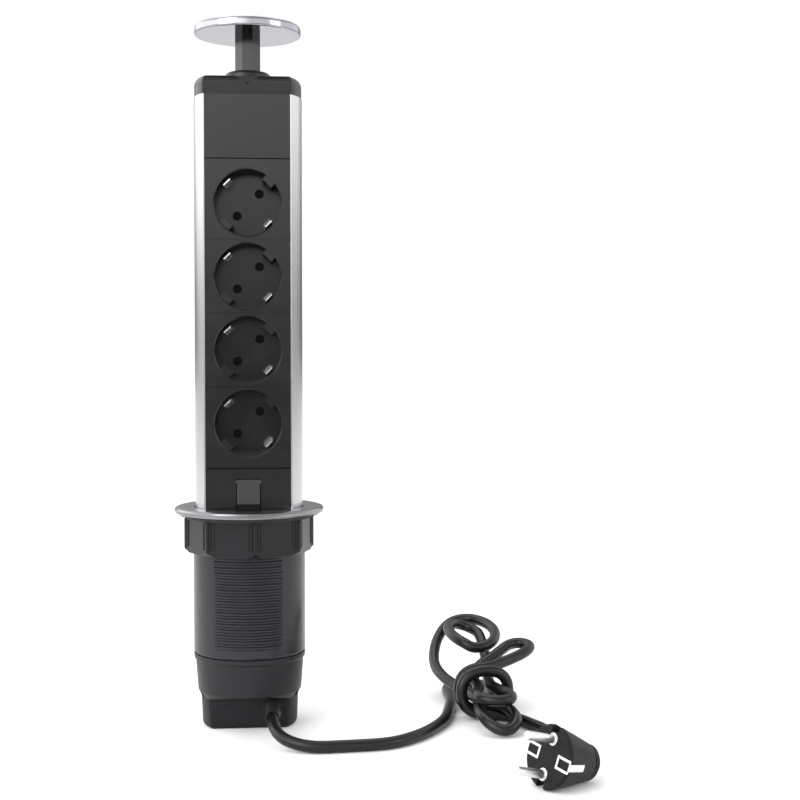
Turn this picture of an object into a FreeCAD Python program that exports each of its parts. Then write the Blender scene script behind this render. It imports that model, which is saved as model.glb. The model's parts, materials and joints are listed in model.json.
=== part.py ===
"""Pull-up socket tower for a worktop, in millimetres.

The tower stands on its cable box: Z is up, the flat front with the sockets faces -Y, and the
origin is the centre of the box's underside. The tower is drawn fully raised in its collar.
"""
import FreeCAD, Part

import math
import os

V = FreeCAD.Vector

# Heights, from the underside of the cable box up
cover_height = 4.9
box_height = 18.3
collar_taper = 3.7
collar_height = 22.5
tube_length = 85.2
flange_thickness = 3.7
panel_start_gap = 0.2
foot_panel_show = 24.2
first_socket_drop = 25.9
socket_count = 4
socket_pitch = 44.0
last_socket_rise = 26.8
blank_panel_height = 38.1
cap_height = 11.6
bush_height = 4.0
lid_gap = 26.4
lid_thickness = 6.0

collar_base_z = box_height + collar_taper
collar_top_z = collar_base_z + collar_height
tube_bottom_z = collar_top_z + panel_start_gap
flange_under_z = tube_bottom_z + tube_length
flange_top_z = flange_under_z + flange_thickness
foot_bottom_z = collar_top_z + panel_start_gap
fascia_bottom_z = flange_top_z + foot_panel_show
fascia_height = first_socket_drop + (socket_count - 1) * socket_pitch + last_socket_rise
fascia_top_z = fascia_bottom_z + fascia_height
cap_bottom_z = fascia_top_z + blank_panel_height
cap_top_z = cap_bottom_z + cap_height
lid_under_z = cap_top_z + lid_gap

# Tower section
tower_r = 32.6
tower_wall = 1.4
front_y = -19.2
lip_half_width = 25.5
panel_gap = 0.2
panel_thickness = 2.2
panel_step = 1.4
panel_step_margin = 0.4
channel_r = 3.0
channel_bore_r = 1.4
channel_spots = ((22.9, 17.3), (-22.9, 17.3), (26.9, -10.0), (-26.9, -10.0))
rear_channels = channel_spots[:2]
inner_r = tower_r - tower_wall
panel_back_y = front_y + panel_thickness
step_back_y = panel_back_y + panel_step

# Top cap, stem and lid
cap_r = 32.3
cap_flat_y = -18.7
cap_round = 4.6
cap_skirt_depth = 8.6
cap_skirt_wall = 1.6
cap_skirt_gap = 0.15
cap_top_plate = 4.0
cap_notch_half = 8.0
cap_notch_depth = 5.8
cap_screw_seat_z = cap_bottom_z + 5.6
long_screw_length = 16.0
guide_r = 12.0
stem_r = 8.1
stem_clearance = 0.3
stem_sides = 8
stem_first_corner = 180.0 / stem_sides - 90.0
bush_r = 13.9
bush_round = 2.8
bush_neck_r = 9.9
bush_neck_depth = 22.7
lid_r = 32.0
lid_round = 2.6
lid_under_round = 1.0
lid_boss_r = 4.0
lid_boss_depth = 12.0
clip_gap = 0.3
clip_r = 9.7
clip_thickness = 1.2
clip_groove_r = 6.2
stem_tail = 1.2
catch_cup_r = 12.6
catch_bore_r = 10.3
catch_floor = 2.0
catch_travel_room = 21.0
catch_flange_half = 18.2
catch_flange_depth = 12.6
catch_flange_thickness = 2.0
catch_screw_x = 15.4
screw_r = 1.4
screw_head_r = 2.6
screw_head_height = 1.8
screw_clearance = 0.2
small_screw_length = 8.0
spring_bore_r = 5.3
spring_r = 4.4
spring_wire_r = 0.55
spring_turns = 6
spring_bore_depth = 18.0
spring_end_gap = 0.1

# Sockets
well_r = 19.9
well_depth = 17.5
well_wall = 1.6
well_chamfer = 0.7
pin_pitch = 19.0
pin_hole_r = 2.7
socket_turn = 45.0
guide_half_width = 3.6
guide_reach = 3.6
guide_top_gap = 1.2
clip_half_width = 2.7
clip_arm_r = 17.9
clip_leaf = 0.8
clip_bulge = 1.7
clip_arm_length = 15.4
clip_slot_gap = 0.25
groove_depth = 0.5
groove_half = 0.45
floor_back_y = front_y + well_depth + well_wall

# Current path behind the wells
strip_thickness = 0.8
contact_r = 3.6
contact_bore_r = 2.9
carrier_front_gap = 0.2
carrier_depth = 12.6
carrier_margin = 6.0
carrier_half_width = 19.0
contact_clearance = 0.4
bar_half_width = 2.5
earth_bar_rise = 6.0
wire_r = 1.3

# Foot panel and latch
latch_half_width = 6.8
latch_top_z = fascia_bottom_z - 6.8
latch_rest_gap = 0.3
shelf_drop = 1.3
shelf_height = 8.0
latch_nose_rise = 4.0
latch_nose_reach = 2.6
latch_toe_reach = 1.3
latch_plate = 2.5
latch_tongue = 2.9
latch_tongue_thickness = 1.4
latch_tongue_root = 2.0
latch_window_gap = 0.5
latch_swing_gap = 1.2
latch_room_side = 1.5
latch_room_top = 2.5
latch_axis_y = -14.8
latch_axis_drop = 1.6
latch_barrel_r = 2.6
latch_pin_r = 1.25
latch_pin_clearance = 0.05
latch_ear_inner = 7.3
latch_ear_outer = 9.6
latch_bridge_y = -5.4
latch_bridge_wall = 1.6
latch_bridge_half_height = 4.6
latch_spring_r = 2.6
latch_spring_wire_r = 0.4
latch_spring_turns = 4
latch_peg_length = 2.5
latch_peg_gap = 0.3
shelf_top_z = flange_top_z - shelf_drop
latch_bottom_z = shelf_top_z + latch_rest_gap
latch_nose_z = latch_bottom_z + latch_nose_rise

# Stop collar and cable box
collar_lip_r = 33.9
collar_lip_height = 2.6
collar_upper_r = 32.9
collar_lower_r = 31.5
collar_bore_r = 27.0
collar_lip_slope = 1.0
collar_front_wall = 3.9
collar_seat_z = collar_top_z - 4.0
box_top_r = 29.6
box_bottom_r = 28.7
box_front_y = -17.4
box_wall = 2.2
box_floor_round = 2.6
box_side_round = 3.0
cover_floor = 2.2
cover_wall = 4.5
cover_screw_seat_z = 2.4
post_top_gap = 0.4
post_trim = 0.5
post_spots = ((23.6, 8.6), (-23.6, 8.6), (0.0, 25.2), (-22.2, -11.8))
terminal_xs = (-11.0, -3.0, 5.0)
terminal_y = 4.0
terminal_length = 26.0
terminal_depth = 14.0
terminal_height = 10.5
terminal_bore_r = 2.0
terminal_bore_depth = 5.8
terminal_screw_length = 4.2
terminal_screw_y = terminal_y - 3.0
terminal_wire_y = terminal_y + 3.5
terminal_top_z = cover_floor + terminal_height
terminal_seat_z = terminal_top_z - terminal_bore_depth
wire_rise = 12.0
wire_reach = 34.0
bar_foot_drop = 3.0

# Collar parts in the worktop
bore_clearance = 0.4
tube_wall = 1.0
thread_height = 0.9
thread_pitch = 3.37
thread_half_angle = 36.0
thread_start = 6.0
thread_end = 1.0
thread_sink = 0.3
thread_seam = 0.01
thread_rise = 0.8
thread_crest = 0.9
tube_chamfer = 1.4
tube_mouth_trim = 0.7
flange_r = 45.3
flange_edge = 1.5
flange_bore_clearance = 0.6
flange_bore_edge = 0.6
flange_lip_in = 0.5
flange_lip_rise = 0.8
flange_brow_in = 0.6
flange_brow_drop = 0.525
flange_crown_in = 2.1
gasket_thickness = 1.2
gasket_inner_clearance = 0.4
gasket_r = 42.5
washer_thickness = 1.5
washer_r = 38.4
nut_height = 20.4
nut_corner_r = 39.6
nut_flat_trim = 0.6
nut_foot_height = 5.0
nut_foot_trim = 2.4
nut_foot_clear = 2.6
nut_clearance = 0.35
nut_rib_r = 1.5
nut_corners = 8
nut_turn_offset = 6.5
nut_stack_gap = 0.3
tube_bore_r = tower_r + bore_clearance
tube_r = tube_bore_r + tube_wall
thread_r = tube_r + thread_height
nut_bore_r = thread_r + nut_clearance

# Cord, bundle and plug
cord_r = 3.5
cord_clearance = 0.15
floor_gap = 0.1
cord_exit_x = 14.0
cord_exit_z = 11.6
cord_inner_y = -2.0
boot_length = 20.0
boot_root_r = 5.6
boot_tip_r = 4.4
boot_flange_r = 6.4
boot_flange = 1.4
clamp_y = -6.5
clamp_half_length = 8.5
clamp_half_width = 3.0
clamp_bar_height = 3.6
clamp_screw_offset = 6.2
clamp_post_r = 2.5
clamp_screw_bite = 8.0
clamp_squeeze = 0.6
clamp_bar_z = cord_exit_z + cord_r - clamp_squeeze
clamp_xs = (cord_exit_x - clamp_screw_offset, cord_exit_x + clamp_screw_offset)
cord_z = cord_r + floor_gap
lead_points = [(cord_exit_x, cord_inner_y, cord_exit_z), (cord_exit_x, -46.5, cord_exit_z),
               (18.5, -64.5, 6.8), (34.5, -74.0, cord_z), (57.5, -72.0, cord_z), (82.5, -69.0, cord_z),
               (98.5, -54.5, cord_z), (109.0, -39.5, cord_z), (119.3, -18.1, cord_z)]
boot_tip_y = box_front_y - boot_length

# The bundle: a hank of folds about a waist, tied by the cord's own last turns
waist_x, waist_y = 145.0, -2.0
hank_heading = 94.0
strand_offset = 4.2
low_row_z = 11.9
row_pitch = 7.9
lobe_steps = 12
fold_shape = 1.5
lift_shape = 2.5
under_lobe = dict(length=74.0, half=13.5, lean=0.0, lift=0.0)
front_lobes = (dict(length=48.0, half=10.0, lean=3.0, lift=-7.7),
               dict(length=35.0, half=10.0, lean=2.5, lift=-1.0))
# the big rear fold goes round twice: an outer turn, then an inner one that leaves for the waist
big_fold_in = ((0.0, -4.2, 0.0), (12.5, -6.8, 0.2), (26.0, -12.2, 1.4))
big_fold_out = ((37.0, 9.8, 12.3), (25.0, 7.4, 9.4), (12.5, 5.2, 8.3))
turn_steps = 9
outer_centre, outer_reach = (58.0, 0.0), (31.0, 22.0)
outer_from, outer_sweep = -118.0, 296.0
outer_rise = 0.42
outer_draw_in = (0.24, 0.35)
outer_zs = (17.0, 46.0, 36.0)
inner_centre, inner_reach = (57.5, 1.0), (21.5, 12.8)
inner_sweep = 240.0
inner_rise = 8.5
inner_crest = 0.6
inner_wave = 0.83
inner_fall = 2.4
# the small rear fold, a beak that points up to the right
beak_fold = ((0.0, -4.2, 0.0), (10.5, -4.8, 1.6), (19.5, -2.4, 5.2), (25.5, 4.4, 8.8), (30.0, 12.6, 11.9),
             (35.0, 20.0, 14.8), (39.5, 26.0, 16.8), (39.0, 33.5, 17.6), (31.0, 36.0, 16.8),
             (22.5, 29.5, 14.8), (17.0, 20.5, 12.6), (13.0, 12.0, 10.6))
tail_places = ((-10.0, 11.5), (-19.5, 17.0), (-31.0, 21.5))
wrap_half = 15.0
wrap_rise = 12.8
wrap_lift = 0.25
wrap_square = 0.85
wrap_turns = 1.533
wrap_start = 78.0
wrap_s = 7.0
wrap_pitch = 8.8
wrap_steps = 12

# The plug lies on its cone beside the bundle, pins raised
plug_x, plug_y = 158.3, -148.3
plug_heading = 211.0
plug_pitch = 15.5
plug_tilt = -7.0
plug_r = 17.0
plug_edge = 1.0
plug_rim = 2.0
plug_cone = 25.0
plug_cone_r = 10.5
plug_groove = 1.0
plug_groove_r = 9.5
plug_end_r = 10.0
plug_back_edge = 2.4
plug_back_r = 7.6
plug_depth = 31.0
pin_r = 2.4
pin_length = 19.0
pin_round = 0.9
pin_root = 10.0
pin_root_r = 2.0
pin_collar_r = 3.3
pin_collar = 0.5
guide_slot_half = 2.8
guide_slot_depth = 3.8
guide_slot_length = 12.0
earth_half = 3.6
earth_bar_width = 1.3
earth_plate = 0.8
earth_inner_r = 7.0
earth_length = 14.0
earth_strip_half = 1.9
earth_pocket_gap = 0.1
neck_seat = 12.0
neck_root_r = 7.4
neck_tip_r = 4.9
neck_length = 40.0
neck_drop = 6.2
neck_bore_depth = 10.0
neck_front_gap = 1.5
tail_first_run = 21.0
tail_last_run = 18.0
tail_rise = 0.8
plug_slope = (plug_r - plug_cone_r) / (plug_cone - plug_rim)
# distances behind the face with the body's radii
plug_outline = ((0.0, plug_r - plug_edge), (plug_edge, plug_r), (plug_rim, plug_r), (plug_cone, plug_cone_r),
                (plug_cone, plug_groove_r), (plug_cone + plug_groove, plug_groove_r),
                (plug_cone + plug_groove, plug_end_r), (plug_depth - plug_back_edge, plug_end_r - plug_slope),
                (plug_depth, plug_back_r))
plug_z = floor_gap + max(back * math.sin(math.radians(plug_pitch)) + r * math.cos(math.radians(plug_pitch))
                         for back, r in plug_outline)

OUT = "parts"
os.makedirs(OUT, exist_ok=True)


def save(name, shape):
    """Write one node and print its volume."""
    shape.exportStep(f"{OUT}/{name}.step")
    print(f"{name:20s} {shape.Volume:12.1f} mm3  {len(shape.Solids)} solid  {shape.isValid()}")


def box(x0, x1, y0, y1, z0, z1):
    """A block between two corners."""
    return Part.makeBox(x1 - x0, y1 - y0, z1 - z0, V(x0, y0, z0))


def cylinder(r, z0, z1, x=0.0, y=0.0):
    """An upright cylinder."""
    return Part.makeCylinder(r, z1 - z0, V(x, y, z0))


def rod(r, start, end):
    """A cylinder from one point to another."""
    way = V(*end) - V(*start)
    return Part.makeCylinder(r, way.Length, V(*start), way)


def ring(outer, inner, z0, z1):
    """An upright tube."""
    return cylinder(outer, z0, z1).cut(cylinder(inner, z0, z1))


def flat_round(r, flat_y, z0, z1):
    """A cylinder with a flat front at flat_y."""
    return cylinder(r, z0, z1).cut(box(-r - 1, r + 1, -r - 1, flat_y, z0, z1))


def prism(points, way):
    """A straight solid on a closed outline of points."""
    loop = [V(*p) for p in points]
    return Part.Face(Part.makePolygon(loop + loop[:1])).extrude(V(*way))


def revolve(points, turn=360.0, start=0.0):
    """A solid turned about Z from an (r, z) outline."""
    loop = [V(r, 0, z) for r, z in points]
    face = Part.Face(Part.makePolygon(loop + loop[:1]))
    face.rotate(V(), V(0, 0, 1), start)
    return face.revolve(V(), V(0, 0, 1), turn)


def regular(sides, r, z0, z1, first=0.0):
    """An upright prism with equal sides and its first corner at an angle."""
    angles = [math.radians(first + 360.0 * i / sides) for i in range(sides)]
    return prism([(r * math.cos(a), r * math.sin(a), z0) for a in angles], (0, 0, z1 - z0))


def fuse(first, *others):
    """One clean solid from several."""
    return first.fuse(list(others)).removeSplitter()


def round_edges(shape, radius, choose):
    """Fillet the edges that the test picks."""
    return shape.makeFillet(radius, [e for e in shape.Edges if choose(e)])


def edge_at_z(z):
    """A test for edges that lie level at one height."""
    return lambda e: all(abs(v.Z - z) < 1e-4 for v in e.Vertexes) and abs(e.CenterOfMass.z - z) < 1e-4


def screw(x, y, head_z, length, up=1, r=screw_r):
    """A cheese-head screw whose shank points up (1) or down (-1) from the head's inner face."""
    head = Part.makeCylinder(screw_head_r, screw_head_height, V(x, y, head_z), V(0, 0, -up))
    shank = Part.makeCylinder(r, length, V(x, y, head_z), V(0, 0, up))
    slot_z = head_z - up * screw_head_height
    slot = box(x - screw_head_r, x + screw_head_r, y - 0.35, y + 0.35, slot_z - 0.6, slot_z + 0.6)
    return fuse(head, shank).cut(slot)


# Tubes along a line: straight runs with arcs, or biarcs through points


def arc_middle(a, b, tangent):
    """The middle point of the arc that leaves a along a tangent and ends at b."""
    chord = b - a
    along = V(chord).normalize()
    side = tangent - along * tangent.dot(along)
    if side.Length < 1e-7:
        return None
    angle = math.acos(max(-1.0, min(1.0, tangent.dot(along))))
    return a + chord * 0.5 + side.normalize() * (chord.Length / 2 * math.tan(angle / 2))


def arc_edge(a, b, tangent):
    """An arc, or a straight edge where there is no bend."""
    middle = arc_middle(a, b, tangent)
    if middle is None:
        return Part.LineSegment(a, b).toShape()
    return Part.Arc(a, middle, b).toShape()


def biarc(p0, t0, p1, t1):
    """Two arcs that join two points with given directions."""
    v, t = p1 - p0, t0 + t1
    c = 2 * (1 - t0.dot(t1))
    vt = v.dot(t)
    if c < 1e-9:
        d = v.dot(v) / (2 * vt)
    else:
        d = (-vt + math.sqrt(vt * vt + c * v.dot(v))) / c
    joint = (p0 + t0 * d + p1 - t1 * d) * 0.5
    # the direction at the joint is that from one control point to the other
    middle = V((p1 - t1 * d) - (p0 + t0 * d)).normalize()
    return [arc_edge(p0, joint, t0), arc_edge(joint, p1, middle)]


def biarcs_through(points, first, last):
    """Arcs through points, with set end directions."""
    places = [V(*p) for p in points]
    ways = [V(b - a).normalize() for a, b in zip(places[:-2], places[2:])]
    ways = [V(*first).normalize()] + ways + [V(*last).normalize()]
    edges = []
    for i in range(len(places) - 1):
        edges += biarc(places[i], ways[i], places[i + 1], ways[i + 1])
    return edges


def tube_through(points, r, first, last):
    """A round tube on biarcs through points."""
    return swept(biarcs_through(points, first, last), r, V(*points[0]), V(*first).normalize())


def swept(edges, r, start, way):
    """A round tube along edges."""
    path = Part.Wire(edges)
    mouth = Part.Wire(Part.Circle(start, way, r).toShape())
    tube = path.makePipeShell([mouth], True, False)
    return tube if tube.Volume > 0 else tube.reversed()


def bent_rod(points, r, share=0.45, report=None):
    """A round tube of straight runs joined by tangent arcs, as large as the runs allow."""
    places = [V(*p) for p in points]
    edges, at, radii = [], places[0], []
    for before, corner, after in zip(places[:-2], places[1:-1], places[2:]):
        back, ahead = before - corner, after - corner
        reach = share * min(back.Length, ahead.Length)
        a = corner + V(back).normalize() * reach
        b = corner + V(ahead).normalize() * reach
        turn = math.pi - back.getAngle(ahead)
        radii.append(reach / math.tan(turn / 2))
        edges.append(Part.LineSegment(at, a).toShape())
        edges.append(arc_edge(a, b, V(back).normalize() * -1))
        at = b
    edges.append(Part.LineSegment(at, places[-1]).toShape())
    tube = swept(edges, r, places[0], V(places[1] - places[0]).normalize())
    if report:
        length = sum(e.Length for e in edges)
        share_of_volume = tube.Volume / (math.pi * r * r * length)
        print(f"{report}: length {length:.0f} mm, radii {[round(x, 1) for x in radii]},"
              f" volume ratio {share_of_volume:.4f}")
    return tube


# Tower: profile, cap and panels


def tower_profile():
    """C-shaped aluminium profile with four screw channels."""
    z0, z1 = collar_top_z, cap_bottom_z
    shell = flat_round(tower_r, front_y, z0, z1).cut(cylinder(inner_r, z0, z1))
    shell = shell.cut(box(-lip_half_width, lip_half_width, -tower_r, 0, z0, z1))
    channels = [cylinder(channel_r, z0, z1, x, y) for x, y in channel_spots]
    inside = cylinder(inner_r + tower_wall / 2, z0, z1)
    shell = fuse(shell, *[c.common(inside) for c in channels])
    for x, y in channel_spots:
        shell = shell.cut(cylinder(channel_bore_r, z0, z1, x, y))
    return shell


def panel_plate(z0, z1):
    """A flat front panel with a wider step behind the profile's lips."""
    half = lip_half_width - panel_gap
    step = math.sqrt(inner_r ** 2 - panel_back_y ** 2) - panel_step_margin
    plate = box(-half, half, front_y, panel_back_y, z0, z1)
    return fuse(plate, box(-step, step, panel_back_y, step_back_y, z0, z1))


def groove(z):
    """A shallow groove across a panel's front."""
    half = lip_half_width + 1
    return box(-half, half, front_y - 1, front_y + groove_depth, z - groove_half, z + groove_half)


def top_cap():
    """Rounded cap with a skirt inside the profile and a guide for the stem."""
    cap = flat_round(cap_r, cap_flat_y, cap_bottom_z, cap_top_z)
    cap = round_edges(cap, cap_round, edge_at_z(cap_top_z))
    skirt_r = inner_r - cap_skirt_gap
    skirt_flat = step_back_y + cap_skirt_gap
    skirt_z = cap_bottom_z - cap_skirt_depth
    hollow_top = cap_top_z - cap_top_plate
    skirt = flat_round(skirt_r, skirt_flat, skirt_z, cap_bottom_z)
    hollow = flat_round(skirt_r - cap_skirt_wall, skirt_flat + cap_skirt_wall, skirt_z, hollow_top)
    cap = fuse(cap, skirt).cut(hollow)
    guide = cylinder(guide_r, skirt_z, hollow_top)
    posts = [cylinder(channel_r, skirt_z, hollow_top, s * catch_screw_x, 0) for s in (-1, 1)]
    cap = fuse(cap, guide, *posts)
    cap = cap.cut(cylinder(bush_neck_r, skirt_z, cap_top_z))
    for side in (-1, 1):
        cap = cap.cut(cylinder(screw_r, skirt_z, skirt_z + small_screw_length, side * catch_screw_x, 0))
    for x, y in channel_spots:
        cap = cap.cut(cylinder(channel_r + cap_skirt_gap, skirt_z, cap_bottom_z, x, y))
    for x, y in rear_channels:
        cap = cap.cut(cylinder(screw_r + screw_clearance, skirt_z, cap_top_z, x, y))
        cap = cap.cut(cylinder(screw_head_r + screw_clearance, cap_screw_seat_z, cap_top_z, x, y))
    notch = prism([(-cap_notch_half, front_y - 1, cap_top_z + 0.1),
                   (cap_notch_half, front_y - 1, cap_top_z + 0.1),
                   (0, front_y - 1, cap_top_z - cap_notch_depth)],
                  (0, cap_round + 2, 0))
    return cap.cut(notch)


def cap_screws():
    """Screws from the cap down into the profile's channels."""
    return Part.makeCompound([screw(x, y, cap_screw_seat_z, long_screw_length, -1, channel_bore_r)
                              for x, y in rear_channels])


def stem_bush():
    """Rounded bush that guides the stem through the cap."""
    bush = cylinder(bush_r, cap_top_z, cap_top_z + bush_height)
    bush = round_edges(bush, bush_round, edge_at_z(cap_top_z + bush_height))
    bush = fuse(bush, cylinder(bush_neck_r, cap_top_z - bush_neck_depth, cap_top_z))
    hole = regular(stem_sides, stem_r + stem_clearance, cap_top_z - bush_neck_depth - 1,
                   cap_top_z + bush_height + 1, stem_first_corner)
    return bush.cut(hole)


stem_clip_top_z = cap_top_z - bush_neck_depth - clip_gap
stem_bottom_z = stem_clip_top_z - clip_thickness - stem_tail


def pull_stem():
    """Eight-sided stem, hollow at both ends."""
    stem = regular(stem_sides, stem_r, stem_bottom_z, lid_under_z, stem_first_corner)
    stem = stem.cut(cylinder(spring_bore_r, stem_bottom_z, stem_bottom_z + spring_bore_depth))
    stem = stem.cut(cylinder(lid_boss_r, lid_under_z - lid_boss_depth, lid_under_z))
    groove_z = stem_clip_top_z - clip_thickness
    return stem.cut(ring(stem_r + 1, clip_groove_r, groove_z, stem_clip_top_z))


def stem_clip():
    """Open retaining ring in the stem's groove."""
    z1 = stem_clip_top_z
    clip = ring(clip_r, clip_groove_r, z1 - clip_thickness, z1)
    return clip.cut(box(-4.0, 4.0, 0, clip_r + 1, z1 - clip_thickness, z1))


def lid_disc():
    """Polished lid with a boss that fits into the stem."""
    lid = cylinder(lid_r, lid_under_z, lid_under_z + lid_thickness)
    lid = round_edges(lid, lid_round, edge_at_z(lid_under_z + lid_thickness))
    lid = round_edges(lid, lid_under_round, edge_at_z(lid_under_z))
    return fuse(lid, cylinder(lid_boss_r, lid_under_z - lid_boss_depth, lid_under_z))


catch_top_z = cap_bottom_z - cap_skirt_depth
catch_floor_z = stem_bottom_z - catch_travel_room


def catch_housing():
    """Cup under the cap that holds the spring and the foot of the stem."""
    cup = cylinder(catch_cup_r, catch_floor_z - catch_floor, catch_top_z)
    flange = box(-catch_flange_half, catch_flange_half, -catch_flange_depth, catch_flange_depth,
                 catch_top_z - catch_flange_thickness, catch_top_z)
    flange = flange.common(cylinder(catch_flange_half + 1, catch_top_z - catch_flange_thickness, catch_top_z))
    cup = fuse(cup, flange).cut(cylinder(catch_bore_r, catch_floor_z, catch_top_z))
    for side in (-1, 1):
        cup = cup.cut(cylinder(screw_r + screw_clearance, catch_top_z - catch_flange_thickness, catch_top_z,
                               side * catch_screw_x, 0))
    return cup


def catch_screws():
    """Screws that hold the cup under the cap."""
    head_z = catch_top_z - catch_flange_thickness
    return Part.makeCompound([screw(s * catch_screw_x, 0, head_z, small_screw_length) for s in (-1, 1)])


def coil(r, wire, turns, height):
    """Centre points of an upright coil spring."""
    steps = 8 * turns
    rise = (height - 2 * wire) / steps
    return [(r * math.cos(math.pi * i / 4), r * math.sin(math.pi * i / 4), wire + rise * i)
            for i in range(steps + 1)]


def knob_spring():
    """Spring in the stem's bore, on the cup's floor."""
    start = catch_floor_z + spring_end_gap
    height = stem_bottom_z + spring_bore_depth - start - spring_end_gap
    points = [(x, y, start + z) for x, y, z in coil(spring_r, spring_wire_r, spring_turns, height)]
    return tube_through(points, spring_wire_r, (0, 1, 0.05), (0, 1, 0.05))


# Sockets


def socket_heights():
    """Heights of the socket centres, from the top."""
    top = fascia_top_z - first_socket_drop
    return [top - socket_pitch * k for k in range(socket_count)]


def on_socket(shape, z):
    """Turn a shape drawn about the Y axis to a socket's angle and lift it to its centre."""
    placed = shape.copy()
    placed.rotate(V(), V(0, 1, 0), -socket_turn)
    placed.translate(V(0, 0, z))
    return placed


def along_y(r, y0, y1, x=0.0, z=0.0):
    """A cylinder along Y."""
    return Part.makeCylinder(r, y1 - y0, V(x, y0, z), V(0, 1, 0))


def guide_ribs():
    """The two guide ribs of a well, in line with the pins."""
    y0, y1 = front_y + guide_top_gap, front_y + well_depth
    block = box(-well_r - 1, well_r + 1, y0, y1, -guide_half_width, guide_half_width)
    core = along_y(well_r - guide_reach, y0, y1)
    return block.common(along_y(well_r, y0, y1)).cut(core)


def clip_slots():
    """Slots in a well's floor for the earth spring's arms."""
    half = clip_half_width + clip_slot_gap
    low = clip_arm_r - clip_leaf - clip_slot_gap
    high = clip_arm_r + clip_slot_gap
    y0, y1 = front_y + well_depth - 0.5, floor_back_y + 0.5
    return [box(-half, half, y0, y1, low, high), box(-half, half, y0, y1, -high, -low)]


def socket_fascia():
    """Moulded front with four deep wells."""
    fascia = panel_plate(fascia_bottom_z, fascia_top_z)
    cups, wells, ribs, cuts = [], [], [], []
    rim = front_y + well_chamfer
    for z in socket_heights():
        cups.append(along_y(well_r + well_wall, panel_back_y, floor_back_y, 0, z))
        wells.append(along_y(well_r, front_y - 1, front_y + well_depth, 0, z))
        wells.append(Part.makeCone(well_r + well_chamfer, well_r, well_chamfer, V(0, front_y, z), V(0, 1, 0)))
        ribs.append(on_socket(guide_ribs(), z))
        for x in (-pin_pitch / 2, pin_pitch / 2):
            cuts.append(on_socket(along_y(pin_hole_r, rim, floor_back_y + 1, x), z))
        cuts += [on_socket(s, z) for s in clip_slots()]
    fascia = fascia.fuse(cups).cut(wells).fuse(ribs).cut(cuts)
    heights = socket_heights()
    seams = [groove((a + b) / 2) for a, b in zip(heights[:-1], heights[1:])]
    return fascia.cut(seams).removeSplitter()


def earth_clip(z):
    """Earth spring: a strap behind the floor and two arms that bow into the well."""
    back = floor_back_y + clip_slot_gap
    high, low = clip_arm_r, clip_arm_r - clip_leaf
    tip_y = back - clip_arm_length
    bow_y = tip_y + 4.0
    half = clip_half_width
    outline = [(high, back + strip_thickness), (high, bow_y + 3.5), (high - clip_bulge, bow_y),
               (high, tip_y), (low, tip_y), (low - clip_bulge, bow_y), (low, bow_y + 3.5), (low, back)]
    points = [(r, y) for r, y in outline] + [(-r, y) for r, y in reversed(outline)]
    strap = prism([(-half, y, r) for r, y in points], (2 * half, 0, 0))
    return on_socket(strap, z)


def contact_places(sign):
    """X and the heights of one pole's contacts."""
    x, _, lift = on_socket(Part.Vertex(V(sign * pin_pitch / 2, 0, 0)), 0).Point
    return x, [z + lift for z in socket_heights()]


carrier_front_y = floor_back_y + clip_slot_gap + 2 * strip_thickness + carrier_front_gap
carrier_back_y = carrier_front_y + carrier_depth
contact_front_y = floor_back_y + clip_slot_gap
carrier_low_z = fascia_bottom_z + carrier_margin
carrier_high_z = fascia_top_z - carrier_margin


def socket_carrier():
    """Insulating block behind the wells that holds the contacts."""
    half = carrier_half_width
    block = box(-half, half, carrier_front_y, carrier_back_y, carrier_low_z, carrier_high_z)
    block = block.makeFillet(2.0, [e for e in block.Edges if abs(e.Vertexes[0].Y - e.Vertexes[1].Y) < 1e-6
                                   and abs(e.Vertexes[0].X - e.Vertexes[1].X) < 1e-6])
    holes = []
    for sign in (-1, 1):
        x, heights = contact_places(sign)
        holes += [along_y(contact_r + contact_clearance, carrier_front_y - 1, carrier_back_y + 1, x, z)
                  for z in heights]
    return block.cut(holes)


def pole_bar(sign):
    """One pole's bar with four contact sleeves."""
    x, heights = contact_places(sign)
    low = carrier_low_z - bar_foot_drop
    strip = box(x - bar_half_width, x + bar_half_width, carrier_back_y, carrier_back_y + strip_thickness,
                low, max(heights) + contact_r)
    sleeves = [along_y(contact_r, contact_front_y, carrier_back_y, x, z) for z in heights]
    bores = [along_y(contact_bore_r, contact_front_y - 1, carrier_back_y, x, z) for z in heights]
    return strip.fuse(sleeves).cut(bores).removeSplitter()


def earth_bar():
    """Strip that joins the four earth springs, bent back at its foot."""
    y0 = floor_back_y + clip_slot_gap + strip_thickness
    heights = socket_heights()
    strip = box(-bar_half_width, bar_half_width, y0, y0 + strip_thickness, carrier_low_z - bar_foot_drop,
                max(heights) + earth_bar_rise)
    foot = box(-bar_half_width, bar_half_width, y0, carrier_back_y + strip_thickness,
               carrier_low_z - bar_foot_drop - strip_thickness, carrier_low_z - bar_foot_drop)
    return fuse(strip, foot)


# Foot panel and latch

latch_axis_z = latch_top_z - latch_axis_drop
latch_back_y = front_y + latch_plate


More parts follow.
